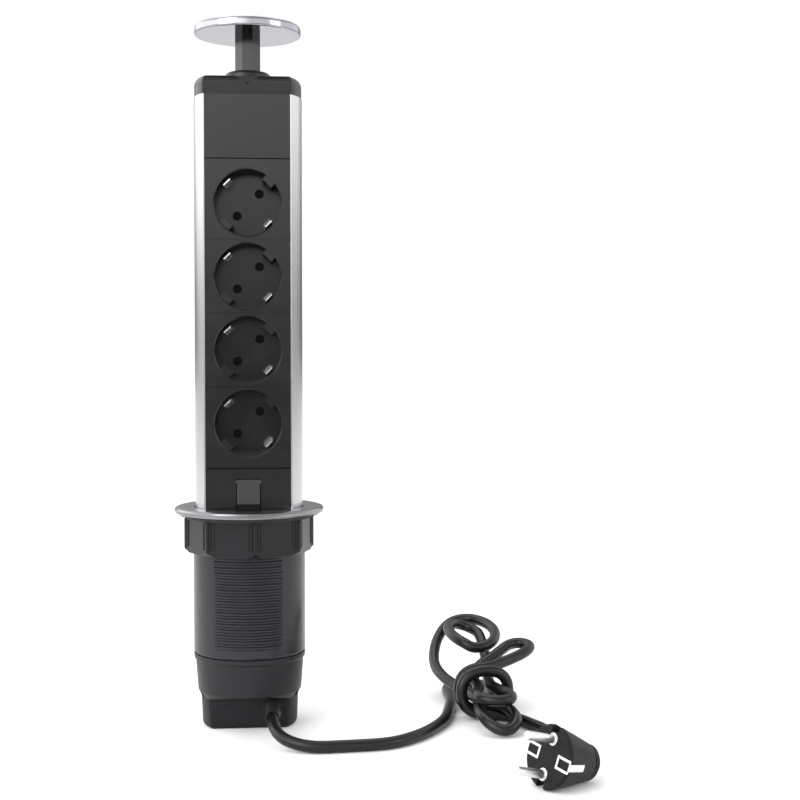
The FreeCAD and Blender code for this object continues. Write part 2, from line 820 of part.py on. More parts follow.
def foot_panel():
    """Panel under the sockets with the latch window, its ears and the spring's bridge."""
    panel = panel_plate(foot_bottom_z, fascia_bottom_z)
    half = latch_half_width + latch_window_gap
    room = latch_ear_outer + latch_room_side
    low = latch_bottom_z - latch_tongue - latch_room_side
    panel = panel.cut(box(-room, room, panel_back_y, step_back_y + 1, low, latch_top_z + latch_room_top))
    panel = panel.cut(box(-half, half, front_y - 1, panel_back_y + 1, latch_bottom_z - latch_swing_gap,
                          latch_top_z + latch_window_gap))
    ears = []
    spring_z = latch_nose_z
    for side in (-1, 1):
        x0, x1 = sorted((side * latch_ear_inner, side * latch_ear_outer))
        ears.append(box(x0, x1, panel_back_y, latch_axis_y + latch_barrel_r, latch_axis_z - latch_barrel_r,
                        latch_axis_z + latch_barrel_r))
        ears.append(box(x0, x1, panel_back_y, latch_bridge_y, spring_z - latch_bridge_half_height,
                        spring_z + latch_bridge_half_height))
    bridge = box(-latch_ear_outer, latch_ear_outer, latch_bridge_y, latch_bridge_y + latch_bridge_wall,
                 spring_z - latch_bridge_half_height, spring_z + latch_bridge_half_height)
    panel = fuse(panel, *ears, bridge)
    pin_hole = rod(latch_pin_r, (-room, latch_axis_y, latch_axis_z), (room, latch_axis_y, latch_axis_z))
    return panel.cut(pin_hole)


def latch_button():
    """Push pad with a wedge nose that stands on the collar's shelf."""
    half = latch_half_width
    side = [(front_y, latch_top_z), (front_y - latch_nose_reach, latch_nose_z),
            (front_y - latch_toe_reach, latch_bottom_z), (latch_back_y, latch_bottom_z),
            (latch_back_y, latch_top_z)]
    pad = prism([(-half, y, z) for y, z in side], (2 * half, 0, 0))
    barrel = rod(latch_barrel_r, (-half, latch_axis_y, latch_axis_z), (half, latch_axis_y, latch_axis_z))
    web = box(-half, half, latch_back_y, latch_axis_y, latch_axis_z - latch_barrel_r, latch_axis_z)
    tongue = box(-half, half, latch_back_y, latch_back_y + latch_tongue_thickness,
                 latch_bottom_z - latch_tongue, latch_bottom_z + latch_tongue_root)
    peg = along_y(latch_spring_r - latch_spring_wire_r - latch_peg_gap, latch_back_y,
                  latch_back_y + latch_peg_length, 0, latch_nose_z)
    latch = fuse(pad, barrel, web, tongue, peg)
    hole = rod(latch_pin_r + latch_pin_clearance, (-half, latch_axis_y, latch_axis_z),
               (half, latch_axis_y, latch_axis_z))
    return latch.cut(hole)


def latch_pin():
    """Steel pin across the ears."""
    return rod(latch_pin_r, (-latch_ear_outer, latch_axis_y, latch_axis_z),
               (latch_ear_outer, latch_axis_y, latch_axis_z))


def latch_spring():
    """Small coil between the pad and the bridge."""
    start = latch_back_y + spring_end_gap
    length = latch_bridge_y - start - spring_end_gap
    points = [(x, start + z, latch_nose_z + y)
              for x, y, z in coil(latch_spring_r, latch_spring_wire_r, latch_spring_turns, length)]
    return tube_through(points, latch_spring_wire_r, (0, 0.1, 1), (0, 0.1, 1))


# Foot of the tower: stop collar and cable box


def stop_collar():
    """Tapered ring that stops the tower at the tube's mouth, with a flat front above the box."""
    outline = [(0, box_height), (box_top_r, box_height), (collar_lower_r, collar_base_z),
               (collar_upper_r, collar_top_z - collar_lip_height - collar_lip_slope),
               (collar_lip_r, collar_top_z - collar_lip_height), (collar_lip_r, collar_top_z),
               (0, collar_top_z)]
    collar = revolve(outline)
    collar = collar.cut(flat_round(collar_bore_r, box_front_y + collar_front_wall, box_height, collar_top_z))
    # the front's underside slopes from the box's flat face out to the ring
    side = [(box_front_y, box_height), (-collar_lip_r, box_height), (-collar_lip_r, collar_base_z),
            (-collar_lower_r, collar_base_z)]
    wedge = prism([(-collar_lip_r, y, z) for y, z in side], (2 * collar_lip_r, 0, 0))
    collar = collar.cut(wedge)
    for x, y in channel_spots:
        collar = collar.cut(cylinder(screw_r + screw_clearance, box_height, collar_top_z, x, y))
        collar = collar.cut(cylinder(screw_head_r + screw_clearance, box_height, collar_seat_z, x, y))
    return collar


def collar_screws():
    """Screws from the collar up into the profile's channels."""
    return Part.makeCompound([screw(x, y, collar_seat_z, long_screw_length, 1, channel_bore_r)
                              for x, y in channel_spots])


def box_form(r_low, r_high, flat, z0, z1):
    """A tapered round block with a flat front."""
    cone = Part.makeCone(r_low, r_high, z1 - z0, V(0, 0, z0))
    room = r_high + 1
    return cone.cut(box(-room, room, -room, flat, z0 - 1, z1 + 1))


def box_r(z):
    """Outer radius of the cable box at a height."""
    return box_bottom_r + (box_top_r - box_bottom_r) * z / box_height


def cable_box():
    """Upper shell of the cable box, with the cord's hole."""
    z0, z1 = cover_height, box_height
    shell = box_form(box_r(z0), box_top_r, box_front_y, z0, z1)
    shell = round_edges(shell, box_side_round, lambda e: abs(e.Vertexes[0].Z - e.Vertexes[-1].Z) > 5
                        and e.CenterOfMass.y < box_front_y + 0.1)
    hollow = box_form(box_r(z0) - box_wall, box_top_r - box_wall, box_front_y + box_wall, z0, z1)
    shell = shell.cut(hollow)
    posts = [cylinder(channel_r, z0, z1 - post_top_gap, x, y) for x, y in post_spots]
    inside = box_form(box_r(z0) - post_trim, box_top_r - post_trim, box_front_y + post_trim, z0, z1)
    shell = fuse(shell, *[p.common(inside) for p in posts])
    for x, y in post_spots:
        shell = shell.cut(cylinder(screw_r, z0, z0 + small_screw_length, x, y))
    return shell.cut(along_y(boot_root_r, box_front_y - 1, box_front_y + box_wall + 1,
                             cord_exit_x, cord_exit_z))


def box_cover():
    """Bottom cover with a rounded edge, screw bosses and the two posts of the cord clamp."""
    cover = box_form(box_bottom_r, box_r(cover_height), box_front_y, 0, cover_height)
    cover = round_edges(cover, box_side_round, lambda e: abs(e.Vertexes[0].Z - e.Vertexes[-1].Z) > 2
                        and e.CenterOfMass.y < box_front_y + 0.1)
    cover = round_edges(cover, box_floor_round, edge_at_z(0))
    inner = box_form(box_bottom_r - cover_wall, box_r(cover_height) - cover_wall, box_front_y + cover_wall,
                     cover_floor, cover_height)
    limit = flat_round(box_bottom_r - 1.2, box_front_y + 1.5, 0, cover_height)
    bosses = [cylinder(channel_r + 1.0, cover_floor - 0.2, cover_height, x, y).common(limit)
              for x, y in post_spots]
    posts = [cylinder(clamp_post_r, cover_floor - 0.2, clamp_bar_z, x, clamp_y) for x in clamp_xs]
    cover = fuse(cover.cut(inner), *bosses, *posts)
    for x, y in post_spots:
        cover = cover.cut(cylinder(screw_r + screw_clearance, 0, cover_height, x, y))
        cover = cover.cut(cylinder(screw_head_r + screw_clearance, 0, cover_screw_seat_z, x, y))
    for x in clamp_xs:
        cover = cover.cut(cylinder(screw_r, clamp_bar_z - clamp_screw_bite, clamp_bar_z, x, clamp_y))
    return cover


def cover_screws():
    """Screws of the bottom cover, sunk below its face."""
    return Part.makeCompound([screw(x, y, cover_screw_seat_z, small_screw_length) for x, y in post_spots])


def terminal_block():
    """Three-way terminal block between the cord and the wires."""
    x0 = terminal_xs[1] - terminal_length / 2
    y0 = terminal_y - terminal_depth / 2
    block = box(x0, x0 + terminal_length, y0, y0 + terminal_depth, cover_floor, terminal_top_z)
    for x in terminal_xs:
        block = block.cut(cylinder(terminal_bore_r, terminal_seat_z, terminal_top_z, x, terminal_screw_y))
        block = block.cut(cylinder(wire_r, terminal_seat_z, terminal_top_z, x, terminal_wire_y))
    return block


def terminal_screws():
    """Clamping screws of the terminal block."""
    low, r = terminal_seat_z, terminal_bore_r
    high = low + terminal_screw_length
    slot = 0.3
    return Part.makeCompound([cylinder(r, low, high, x, terminal_screw_y).cut(
        box(x - r, x + r, terminal_screw_y - slot, terminal_screw_y + slot, high - 0.8, high))
        for x in terminal_xs])


def wires():
    """Three wires from the bars down into the terminal block."""
    feet = dict(zip(("neutral_wire", "earth_wire", "live_wire"), terminal_xs))
    live_x, _ = contact_places(1)
    tops = {"live_wire": live_x, "neutral_wire": -live_x, "earth_wire": 0.0}
    made = {}
    for name, foot_x in feet.items():
        x, y = tops[name], carrier_back_y + strip_thickness - wire_r
        top = carrier_low_z - bar_foot_drop - (strip_thickness if name == "earth_wire" else 0.0)
        points = [(foot_x, terminal_wire_y, terminal_seat_z),
                  (foot_x, terminal_wire_y, terminal_top_z + wire_rise),
                  (x, y, terminal_top_z + wire_reach), (x, y, top)]
        made[name] = bent_rod(points, wire_r)
    return made


def cord_clamp():
    """Bar that holds the cord's jacket inside the box."""
    z0, z1 = clamp_bar_z, clamp_bar_z + clamp_bar_height
    bar = box(cord_exit_x - clamp_half_length, cord_exit_x + clamp_half_length, clamp_y - clamp_half_width,
              clamp_y + clamp_half_width, z0, z1)
    bar = bar.cut(along_y(cord_r + cord_clearance, clamp_y - clamp_half_width - 1,
                          clamp_y + clamp_half_width + 1, cord_exit_x, cord_exit_z))
    for x in clamp_xs:
        bar = bar.cut(cylinder(screw_r + screw_clearance, z0, z1, x, clamp_y))
    return bar


def clamp_screws():
    """Screws of the cord clamp, heads on top."""
    z = clamp_bar_z + clamp_bar_height
    return Part.makeCompound([screw(x, clamp_y, z, clamp_bar_height + clamp_screw_bite - 0.5, -1)
                              for x in clamp_xs])


# Collar: flange, tube, shelf, gasket, washer and nut


def flange_ring():
    """Silver flange that lies on the worktop."""
    bore = tower_r + flange_bore_clearance
    outline = [(bore, flange_under_z), (flange_r - flange_lip_in, flange_under_z),
               (flange_r, flange_under_z + flange_lip_rise), (flange_r, flange_top_z - flange_edge),
               (flange_r - flange_brow_in, flange_top_z - flange_brow_drop),
               (flange_r - flange_crown_in, flange_top_z), (bore + flange_bore_edge, flange_top_z),
               (bore, flange_top_z - flange_bore_edge)]
    return revolve(outline)


def threaded_tube():
    """Black tube with ribs of thread at the front and the back only."""
    z0, z1 = tube_bottom_z, flange_under_z
    outline = [(tube_bore_r, z0), (tube_r - tube_mouth_trim, z0), (tube_r, z0 + tube_chamfer),
               (tube_r, z1), (tube_bore_r, z1)]
    tube = revolve(outline)
    count = int((z1 - z0 - thread_start - thread_end) / thread_pitch)
    crest = thread_rise + thread_crest
    teeth = [(tube_r - thread_sink, z0 + thread_start)]
    for i in range(count):
        z = z0 + thread_start + i * thread_pitch
        teeth += [(tube_r, z + thread_seam), (thread_r, z + thread_rise), (thread_r, z + crest),
                  (tube_r, z + crest + thread_rise)]
    teeth.append((tube_r - thread_sink, z0 + thread_start + count * thread_pitch))
    for middle in (-90.0, 90.0):
        tube = tube.fuse(revolve(teeth, 2 * thread_half_angle, middle - thread_half_angle))
    return tube.removeSplitter()


def guide_shelf():
    """Shelf in the tube's mouth that fills the space before the flat front."""
    z0, z1 = shelf_top_z - shelf_height, shelf_top_z
    flat = front_y - bore_clearance
    shelf = cylinder(tube_bore_r, z0, flange_under_z).fuse(
        cylinder(tower_r + flange_bore_clearance, flange_under_z, z1))
    shelf = shelf.common(box(-tower_r, tower_r, -tower_r - 2, flat, z0, z1))
    return shelf.removeSplitter()


gasket_z = flange_under_z - gasket_thickness
washer_top_z = gasket_z - nut_stack_gap
nut_top_z = washer_top_z - washer_thickness - nut_stack_gap
nut_bottom_z = nut_top_z - nut_height


def flange_gasket():
    """Rubber seal under the flange."""
    return ring(gasket_r, thread_r + gasket_inner_clearance, gasket_z, flange_under_z)


def pressure_washer():
    """Washer between the nut and the worktop."""
    return ring(washer_r, nut_bore_r, washer_top_z - washer_thickness, washer_top_z)


def clamp_nut():
    """Eight-sided clamp nut with a grip rib at each corner."""
    z0, z1 = nut_bottom_z, nut_top_z
    first = nut_turn_offset
    body = regular(nut_corners, nut_corner_r - nut_flat_trim, z0, z1, first)
    wide = nut_corner_r + nut_foot_clear
    taper = Part.makeCone(nut_corner_r - nut_foot_trim, wide, nut_foot_height, V(0, 0, z0))
    taper = taper.fuse(cylinder(wide, z0 + nut_foot_height, z1))
    ribs = []
    for i in range(nut_corners):
        a = math.radians(first + 360.0 * i / nut_corners)
        reach = nut_corner_r - nut_rib_r
        ribs.append(cylinder(nut_rib_r, z0, z1, reach * math.cos(a), reach * math.sin(a)))
    nut = body.fuse(ribs).common(taper)
    return nut.cut(cylinder(nut_bore_r, z0 - 1, z1 + 1)).removeSplitter()


# Cord, from the box to the plug


def cord_boot():
    """Tapered strain relief with a flange against the box."""
    x, z, y = cord_exit_x, cord_exit_z, box_front_y
    neck = along_y(boot_root_r, y, y + box_wall, x, z)
    collar = along_y(boot_flange_r, y - boot_flange, y, x, z)
    cone = Part.makeCone(boot_root_r, boot_tip_r, boot_length - boot_flange, V(x, y - boot_flange, z),
                         V(0, -1, 0))
    bore = along_y(cord_r + cord_clearance, boot_tip_y - 1, y + box_wall + 1, x, z)
    return fuse(neck, collar, cone).cut(bore)


def on_hank(s, across, z):
    """A place in the part from one along, across and above the hank."""
    a = math.radians(hank_heading)
    x, y = s * math.cos(a) + across * math.sin(a), s * math.sin(a) - across * math.cos(a)
    return (waist_x + x, waist_y + y, z)


def lobe(length, half, lean, lift, z0, z1, side):
    """Places on one fold, from its first strand at the waist round to the other."""
    bow = (half / math.cos(math.pi / 4) - strand_offset) / math.sin(math.pi / 4) ** fold_shape
    places = []
    for i in range(lobe_steps):
        phi = math.pi * i / lobe_steps
        swing = math.sin(phi) ** 2
        across = -side * math.cos(phi) * (strand_offset + bow * math.sin(phi) ** fold_shape) + lean * swing
        height = z0 + (z1 - z0) * i / lobe_steps + lift * swing ** lift_shape
        places.append((side * length * math.sin(phi), across, height))
    return places


def under_fold():
    """The first fold, which lies on the floor and climbs to the waist at its end."""
    start = lobe(**under_lobe, z0=0.0, z1=1.0, side=1)[3:]
    rise_from = 0.55
    places = []
    for s, across, way in start:
        climb = max(0.0, (way - rise_from) / (1 - rise_from)) ** 1.3
        places.append((s, across, cord_z + (low_row_z - cord_z) * climb))
    return [(12.1, -19.7, cord_z), (25.0, -16.4, cord_z), (38.5, -14.2, cord_z)] + places


def wrap():
    """The last turns, a square-shouldered helix round the waist."""
    def square(r, c):
        return r * math.copysign(abs(c) ** wrap_square, c)

    count = round(wrap_turns * wrap_steps)
    centre_z = cord_z + wrap_lift + wrap_rise
    places = []
    for i in range(count + 1):
        a = math.radians(wrap_start + 360.0 * wrap_turns * i / count)
        places.append((wrap_s - wrap_pitch * wrap_turns * i / count, square(wrap_half, math.cos(a)),
                       centre_z + square(wrap_rise, math.sin(a))))
    return places


def eased(t):
    """A smooth step from 0 to 1."""
    return 0.5 - 0.5 * math.cos(math.pi * t)


def big_fold(z):
    """The rear fold that goes round twice, climbing on its outer turn and leaving from the inner one."""
    near_z, far_z, cross_z = outer_zs
    places = []
    for i in range(turn_steps + 1):
        t = i / turn_steps
        a = math.radians(outer_from + outer_sweep * t)
        late = max(0.0, (t - inner_crest) / (1 - inner_crest))
        if t < outer_rise:
            height = near_z + (far_z - near_z) * eased(t / outer_rise)
        else:
            height = far_z + (cross_z - far_z) * eased((t - outer_rise) / (1 - outer_rise))
        places.append((outer_centre[0] + outer_reach[0] * math.cos(a) * (1 - outer_draw_in[0] * late ** 2),
                       outer_centre[1] + outer_reach[1] * math.sin(a) * (1 - outer_draw_in[1] * late),
                       height))
    for i in range(1, turn_steps + 1):
        t = i / turn_steps
        a = math.radians(outer_from + outer_sweep + inner_sweep * t)
        fall = inner_fall * max(0.0, t - inner_crest) / (1 - inner_crest)
        height = cross_z + inner_rise * math.sin(math.pi * t * inner_wave) - fall
        places.append((inner_centre[0] + inner_reach[0] * math.cos(a),
                       inner_centre[1] + inner_reach[1] * math.sin(a), height))
    return raised(big_fold_in, z) + places + raised(big_fold_out, z)


def raised(places, z):
    """Places lifted by a height."""
    return [(along, across, height + z) for along, across, height in places]


def hank_points():
    """The bundle's line: a fold under it, two folds each way in turn, then the wrap."""
    low, high = low_row_z, low_row_z + row_pitch
    places = under_fold()
    places += lobe(**front_lobes[0], z0=low, z1=low, side=-1) + big_fold(low)
    places += lobe(**front_lobes[1], z0=high, z1=high, side=-1) + raised(beak_fold, high)
    places += wrap() + [(along, across, cord_z) for along, across in tail_places]
    return [on_hank(*place) for place in places]


def least_gap(edges, r):
    """The least gap of a tube to itself, on places 2 mm apart along its arcs."""
    path = Part.Wire(edges)
    places = path.discretize(Number=int(path.Length / 2))
    apart = math.ceil(7 * r / 2)
    return min((b - a).Length for i, a in enumerate(places) for b in places[i + apart:]) - 2 * r


def cord_lead():
    """The cord from inside the box to the bundle."""
    return bent_rod(lead_points + [hank_points()[0]], cord_r, report="cord_lead")


def cord_hank():
    """The tied bundle, one unbroken tube."""
    points = hank_points()
    first = V(*points[0]) - V(*lead_points[-1])
    last = V(*points[-1]) - V(*points[-2])
    edges = biarcs_through(points, tuple(first), tuple(last))
    tube = swept(edges, cord_r, V(*points[0]), first.normalize())
    length = sum(e.Length for e in edges)
    tightest = min(e.Curve.Radius for e in edges if hasattr(e.Curve, "Radius"))
    print(f"cord_hank: length {length:.0f} mm, least gap to itself {least_gap(edges, cord_r):.2f} mm,"
          f" tightest bend {tightest:.1f} mm")
    return tube


def place_plug(shape):
    """Turn a shape from the plug's own axes, pins along +X, to where the plug lies."""
    placed = shape.copy()
    placed.rotate(V(), V(0, 1, 0), -plug_pitch)
    placed.rotate(V(), V(0, 0, 1), plug_heading)
    placed.translate(V(plug_x, plug_y, plug_z))
    return placed


def tilted(shape):
    """Turn pins and contacts about the plug's axis."""
    turned = shape.copy()
    turned.rotate(V(), V(1, 0, 0), plug_tilt)
    return turned


def neck_axis():
    """Root and tip of the plug's strain relief, and the way along it."""
    root = place_plug(Part.Vertex(V(-neck_seat, 0, 0))).Point
    way = V(0, math.sqrt(neck_length ** 2 - neck_drop ** 2), -neck_drop)
    return root, root + way, V(way).normalize()


def cord_tail():
    """The cord from the bundle into the plug's strain relief."""
    _, tip, way = neck_axis()
    last, end = [V(*p) for p in hank_points()[-2:]]
    back = end + (end - last).normalize() * tail_first_run
    outer = tip + way * tail_last_run
    points = [tuple(end), tuple(back), (outer.x, outer.y, max(outer.z, cord_z + tail_rise)),
              tuple(tip - way * neck_bore_depth)]
    return bent_rod(points, cord_r, report="cord_tail")


def along_x(r, x0, x1, y=0.0, z=0.0):
    """A cylinder along X."""
    return Part.makeCylinder(r, x1 - x0, V(x0, y, z), V(1, 0, 0))


def earth_frame(side, gap=0.0):
    """One earth contact: a frame on the plug's face and a strip down its side."""
    half, plate = earth_half + gap, earth_plate + gap
    y0, y1 = sorted((side * earth_inner_r, side * plug_r))
    face = box(-plate, 0, y0, y1, -half, half)
    if not gap:
        inner = sorted((side * (earth_inner_r + earth_bar_width), side * (plug_r - plate)))
        face = face.cut(box(-plate, 0, inner[0], inner[1], -half + earth_bar_width, half - earth_bar_width))
    reach, half = earth_length + gap, earth_strip_half + gap
    line = [(0, plug_r), (plug_rim, plug_r), (reach, plug_r - (reach - plug_rim) * plug_slope)]
    outline = [(-back, side * y, -half) for back, y in line]
    outline += [(-back, side * (y - plate), -half) for back, y in reversed(line)]
    return face.fuse(prism(outline, (0, 0, 2 * half)))


def plug_blank():
    """The plug's turned form about its own axis, before the cuts."""
    body = revolve([(0, 0)] + [(r, -back) for back, r in plug_outline] + [(0, -plug_depth)])
    body.rotate(V(), V(0, 1, 0), 90)
    return body


def plug_body():
    """Conical plug with a grooved end and a strain relief that leaves at an angle."""
    cuts = []
    for side in (-1, 1):
        z0, z1 = sorted((side * (plug_r - guide_slot_depth), side * (plug_r + 1)))
        cuts.append(tilted(box(-guide_slot_length, 1, -guide_slot_half, guide_slot_half, z0, z1)))
        cuts.append(tilted(earth_frame(side, earth_pocket_gap)))
        cuts.append(tilted(along_x(pin_collar_r, -pin_collar, 0, 0, side * pin_pitch / 2)))
        cuts.append(tilted(along_x(pin_root_r, -pin_root, 0, 0, side * pin_pitch / 2)))
    root, tip, way = neck_axis()
    relief = Part.makeCone(neck_root_r, neck_tip_r, neck_length, root, way)
    depth = neck_bore_depth + cord_clearance
    bore = Part.makeCylinder(cord_r + cord_clearance, depth + 1, tip - way * depth, way)
    # the relief stays behind the plug's face
    room = plug_depth + neck_length
    front = place_plug(box(-neck_front_gap, room, -room, room, -room, room))
    body = fuse(place_plug(plug_blank()), relief.cut(front))
    return body.cut([place_plug(c) for c in cuts] + [bore])


def plug_pins():
    """Two round pins with their collars."""
    pins = []
    for side in (-1, 1):
        pin = along_x(pin_r, -pin_collar, pin_length, 0, side * pin_pitch / 2)
        pin = round_edges(pin, pin_round, lambda e: abs(e.CenterOfMass.x - pin_length) < 1e-6)
        collar = along_x(pin_collar_r, -pin_collar, 0, 0, side * pin_pitch / 2)
        root = along_x(pin_root_r, -pin_root, -pin_collar, 0, side * pin_pitch / 2)
        pins.append(place_plug(tilted(fuse(pin, collar, root))))
    return Part.makeCompound(pins)


def plug_earth_clips():
    """The two earth contacts at the plug's sides."""
    limit = plug_blank()
    return Part.makeCompound([place_plug(tilted(earth_frame(side).common(limit).removeSplitter()))
                              for side in (-1, 1)])


def main():
    """Build every node."""
    save("tower_profile", tower_profile())
    save("top_cap", top_cap())
    save("cap_screws", cap_screws())
    save("stem_bush", stem_bush())
    save("pull_stem", pull_stem())
    save("stem_clip", stem_clip())
    save("lid_disc", lid_disc())
    save("catch_housing", catch_housing())
    save("catch_screws", catch_screws())
    save("knob_spring", knob_spring())
    save("blank_panel", panel_plate(fascia_top_z, cap_bottom_z).cut(groove(fascia_top_z)))
    save("socket_fascia", socket_fascia())
    for k, z in enumerate(socket_heights(), start=1):
        save(f"earth_clip_{k}", earth_clip(z))
    save("socket_carrier", socket_carrier())
    save("live_bar", pole_bar(1))
    save("neutral_bar", pole_bar(-1))
    save("earth_bar", earth_bar())
    save("foot_panel", foot_panel())
    save("latch_button", latch_button())
    save("latch_pin", latch_pin())
    save("latch_spring", latch_spring())
    save("stop_collar", stop_collar())
    save("collar_screws", collar_screws())
    save("cable_box", cable_box())
    save("box_cover", box_cover())
    save("cover_screws", cover_screws())
    save("terminal_block", terminal_block())
    save("terminal_screws", terminal_screws())
    for name, wire in wires().items():
        save(name, wire)
    save("cord_clamp", cord_clamp())
    save("clamp_screws", clamp_screws())
    save("flange_ring", flange_ring())
    save("threaded_tube", threaded_tube())
    save("guide_shelf", guide_shelf())
    save("flange_gasket", flange_gasket())
    save("pressure_washer", pressure_washer())
    save("clamp_nut", clamp_nut())
    save("cord_boot", cord_boot())
    save("cord_lead", cord_lead())
    save("cord_hank", cord_hank())
    save("cord_tail", cord_tail())
    save("plug_body", plug_body())
    save("plug_pins", plug_pins())
    save("plug_earth_clips", plug_earth_clips())


main()
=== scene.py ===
"""Dresses the pull-up socket tower: its finishes, cord, trim, stage, light and camera."""
import json
import logging
import math
from dataclasses import dataclass
from enum import Enum

import bmesh
import bpy
from mathutils import Matrix, Vector


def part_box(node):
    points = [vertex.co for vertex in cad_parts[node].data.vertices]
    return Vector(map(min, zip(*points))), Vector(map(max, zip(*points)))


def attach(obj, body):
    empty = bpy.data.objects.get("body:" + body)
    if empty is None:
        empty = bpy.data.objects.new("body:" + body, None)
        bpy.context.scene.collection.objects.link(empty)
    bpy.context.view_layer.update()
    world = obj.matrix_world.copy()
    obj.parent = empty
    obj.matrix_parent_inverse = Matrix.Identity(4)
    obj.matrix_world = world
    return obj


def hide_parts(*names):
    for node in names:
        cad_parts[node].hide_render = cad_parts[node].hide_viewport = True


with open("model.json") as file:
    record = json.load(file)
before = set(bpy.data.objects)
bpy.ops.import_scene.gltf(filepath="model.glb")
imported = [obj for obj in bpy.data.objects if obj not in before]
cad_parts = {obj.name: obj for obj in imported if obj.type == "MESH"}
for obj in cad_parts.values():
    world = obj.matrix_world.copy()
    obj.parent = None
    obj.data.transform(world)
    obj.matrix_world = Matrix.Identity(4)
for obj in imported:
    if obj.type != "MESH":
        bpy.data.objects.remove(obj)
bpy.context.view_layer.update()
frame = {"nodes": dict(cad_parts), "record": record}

Point = tuple[float, float, float]
Colour = tuple[float, float, float]

POLE_MERGE = 1e-7
MERGE = 1e-6

log = logging.getLogger("socket_tower")


class Slot(Enum):
    """The material slots of the record."""

    PROFILE = "brushed_profile"
    CAP = "cap_black"
    BUSH = "bush_black"
    STEM = "stem_black"
    LID = "lid_silver"
    SPRING = "spring_steel"
    SCREW = "screw_steel"
    INNER = "inner_black"
    PANEL = "panel_black"
    FASCIA = "fascia_black"
    BRASS = "contact_brass"
    CLIP = "clip_nickel"
    LATCH = "latch_black"
    COLLAR = "collar_black"
    BOX = "box_black"
    TERMINAL = "terminal_white"
    BLUE = "wire_blue"
    GREEN = "wire_green"
    BROWN = "wire_brown"
    FLANGE = "flange_silver"
    TUBE = "tube_black"
    SHELF = "shelf_black"
    GASKET = "gasket_rubber"
    WASHER = "washer_black"
    NUT = "nut_black"
    CORD = "cord_black"
    PLUG = "plug_black"
    PIN = "pin_nickel"


class Grain(Enum):
    """How the lines on a metal run."""

    LENGTHWISE = "along the profile"
    TURNED = "in rings about the tower's axis"


class Pen:
    """Draws the nodes of one material."""

    def __init__(self, name: str) -> None:
        """Start a material with a plain surface.

        Args:
            name: The material's name.
        """
        self.material = bpy.data.materials.new(name)
        self.material.use_nodes = True
        self.tree = self.material.node_tree
        self.surface = self.tree.nodes["Principled BSDF"]

    def node(self, kind: str, inputs: dict | None = None, **settings: object) -> bpy.types.Node:
        """Add a node.

        Args:
            kind: The node's type.
            inputs: Its inputs by name or number, as a value or as another node's output.
            settings: Its own properties.

        Returns:
            The new node.
        """
        made = self.tree.nodes.new(kind)
        for key, value in settings.items():
            setattr(made, key, value)
        for key, value in (inputs or {}).items():
            if isinstance(value, bpy.types.NodeSocket):
                self.tree.links.new(value, made.inputs[key])
            else:
                made.inputs[key].default_value = value
        return made

    def place(self, stretch: Point = (1.0, 1.0, 1.0)) -> bpy.types.NodeSocket:
        """Object coordinates, stretched along each axis."""
        at = self.node("ShaderNodeTexCoord").outputs["Object"]
        scaled = self.node("ShaderNodeVectorMath", {0: at, 1: stretch}, operation="MULTIPLY")
        return scaled.outputs[0]

    def noise(self, at: bpy.types.NodeSocket, size: float, detail: float = 3.0,
              rough: float = 0.5) -> bpy.types.NodeSocket:
        """Noise with features of a given size.

        Args:
            at: Where it is read.
            size: The size of its features, in metres.
            detail: How many finer layers it has.
            rough: How strong the finer layers are.

        Returns:
            The noise, from 0 to 1.
        """
        made = self.node("ShaderNodeTexNoise", {"Vector": at, "Scale": 1.0 / size, "Detail": detail,
                                                "Roughness": rough})
        return made.outputs[0]

    def span(self, value: bpy.types.NodeSocket, low: float, high: float, start: float = 0.3,
             end: float = 0.7) -> bpy.types.NodeSocket:
        """A value from start to end, spread from low to high."""
        made = self.node("ShaderNodeMapRange", {"Value": value, "From Min": start, "From Max": end,
                                                "To Min": low, "To Max": high})
        return made.outputs["Result"]

    def between(self, share: bpy.types.NodeSocket, first: Colour, second: Colour) -> bpy.types.NodeSocket:
        """A colour between two, by a share."""
        made = self.node("ShaderNodeMix", {"Factor": share}, data_type="RGBA")
        made.inputs[6].default_value = (*first, 1.0)
        made.inputs[7].default_value = (*second, 1.0)
        return made.outputs[2]

    def relief(self, height: bpy.types.NodeSocket, depth: float,
               under: bpy.types.NodeSocket | None = None) -> bpy.types.NodeSocket:
        """A bump of a given depth in metres, on another one if given."""
        inputs = {"Height": height, "Distance": depth, "Strength": 1.0}
        if under is not None:
            inputs["Normal"] = under
        return self.node("ShaderNodeBump", inputs).outputs["Normal"]

    def finish(self, fixed: dict, drawn: dict) -> bpy.types.Material:
        """Set the surface.

        Args:
            fixed: Values that are the same all over, set on the surface's own sockets.
            drawn: Outputs that vary over the surface.

        Returns:
            The material.
        """
        for key, value in fixed.items():
            self.surface.inputs[key].default_value = value
        for key, output in drawn.items():
            self.tree.links.new(output, self.surface.inputs[key])
        return self.material


def tinted(colour: Colour, share: float) -> Colour:
    """A colour made lighter or darker by a share."""
    return tuple(min(1.0, c * share) for c in colour)


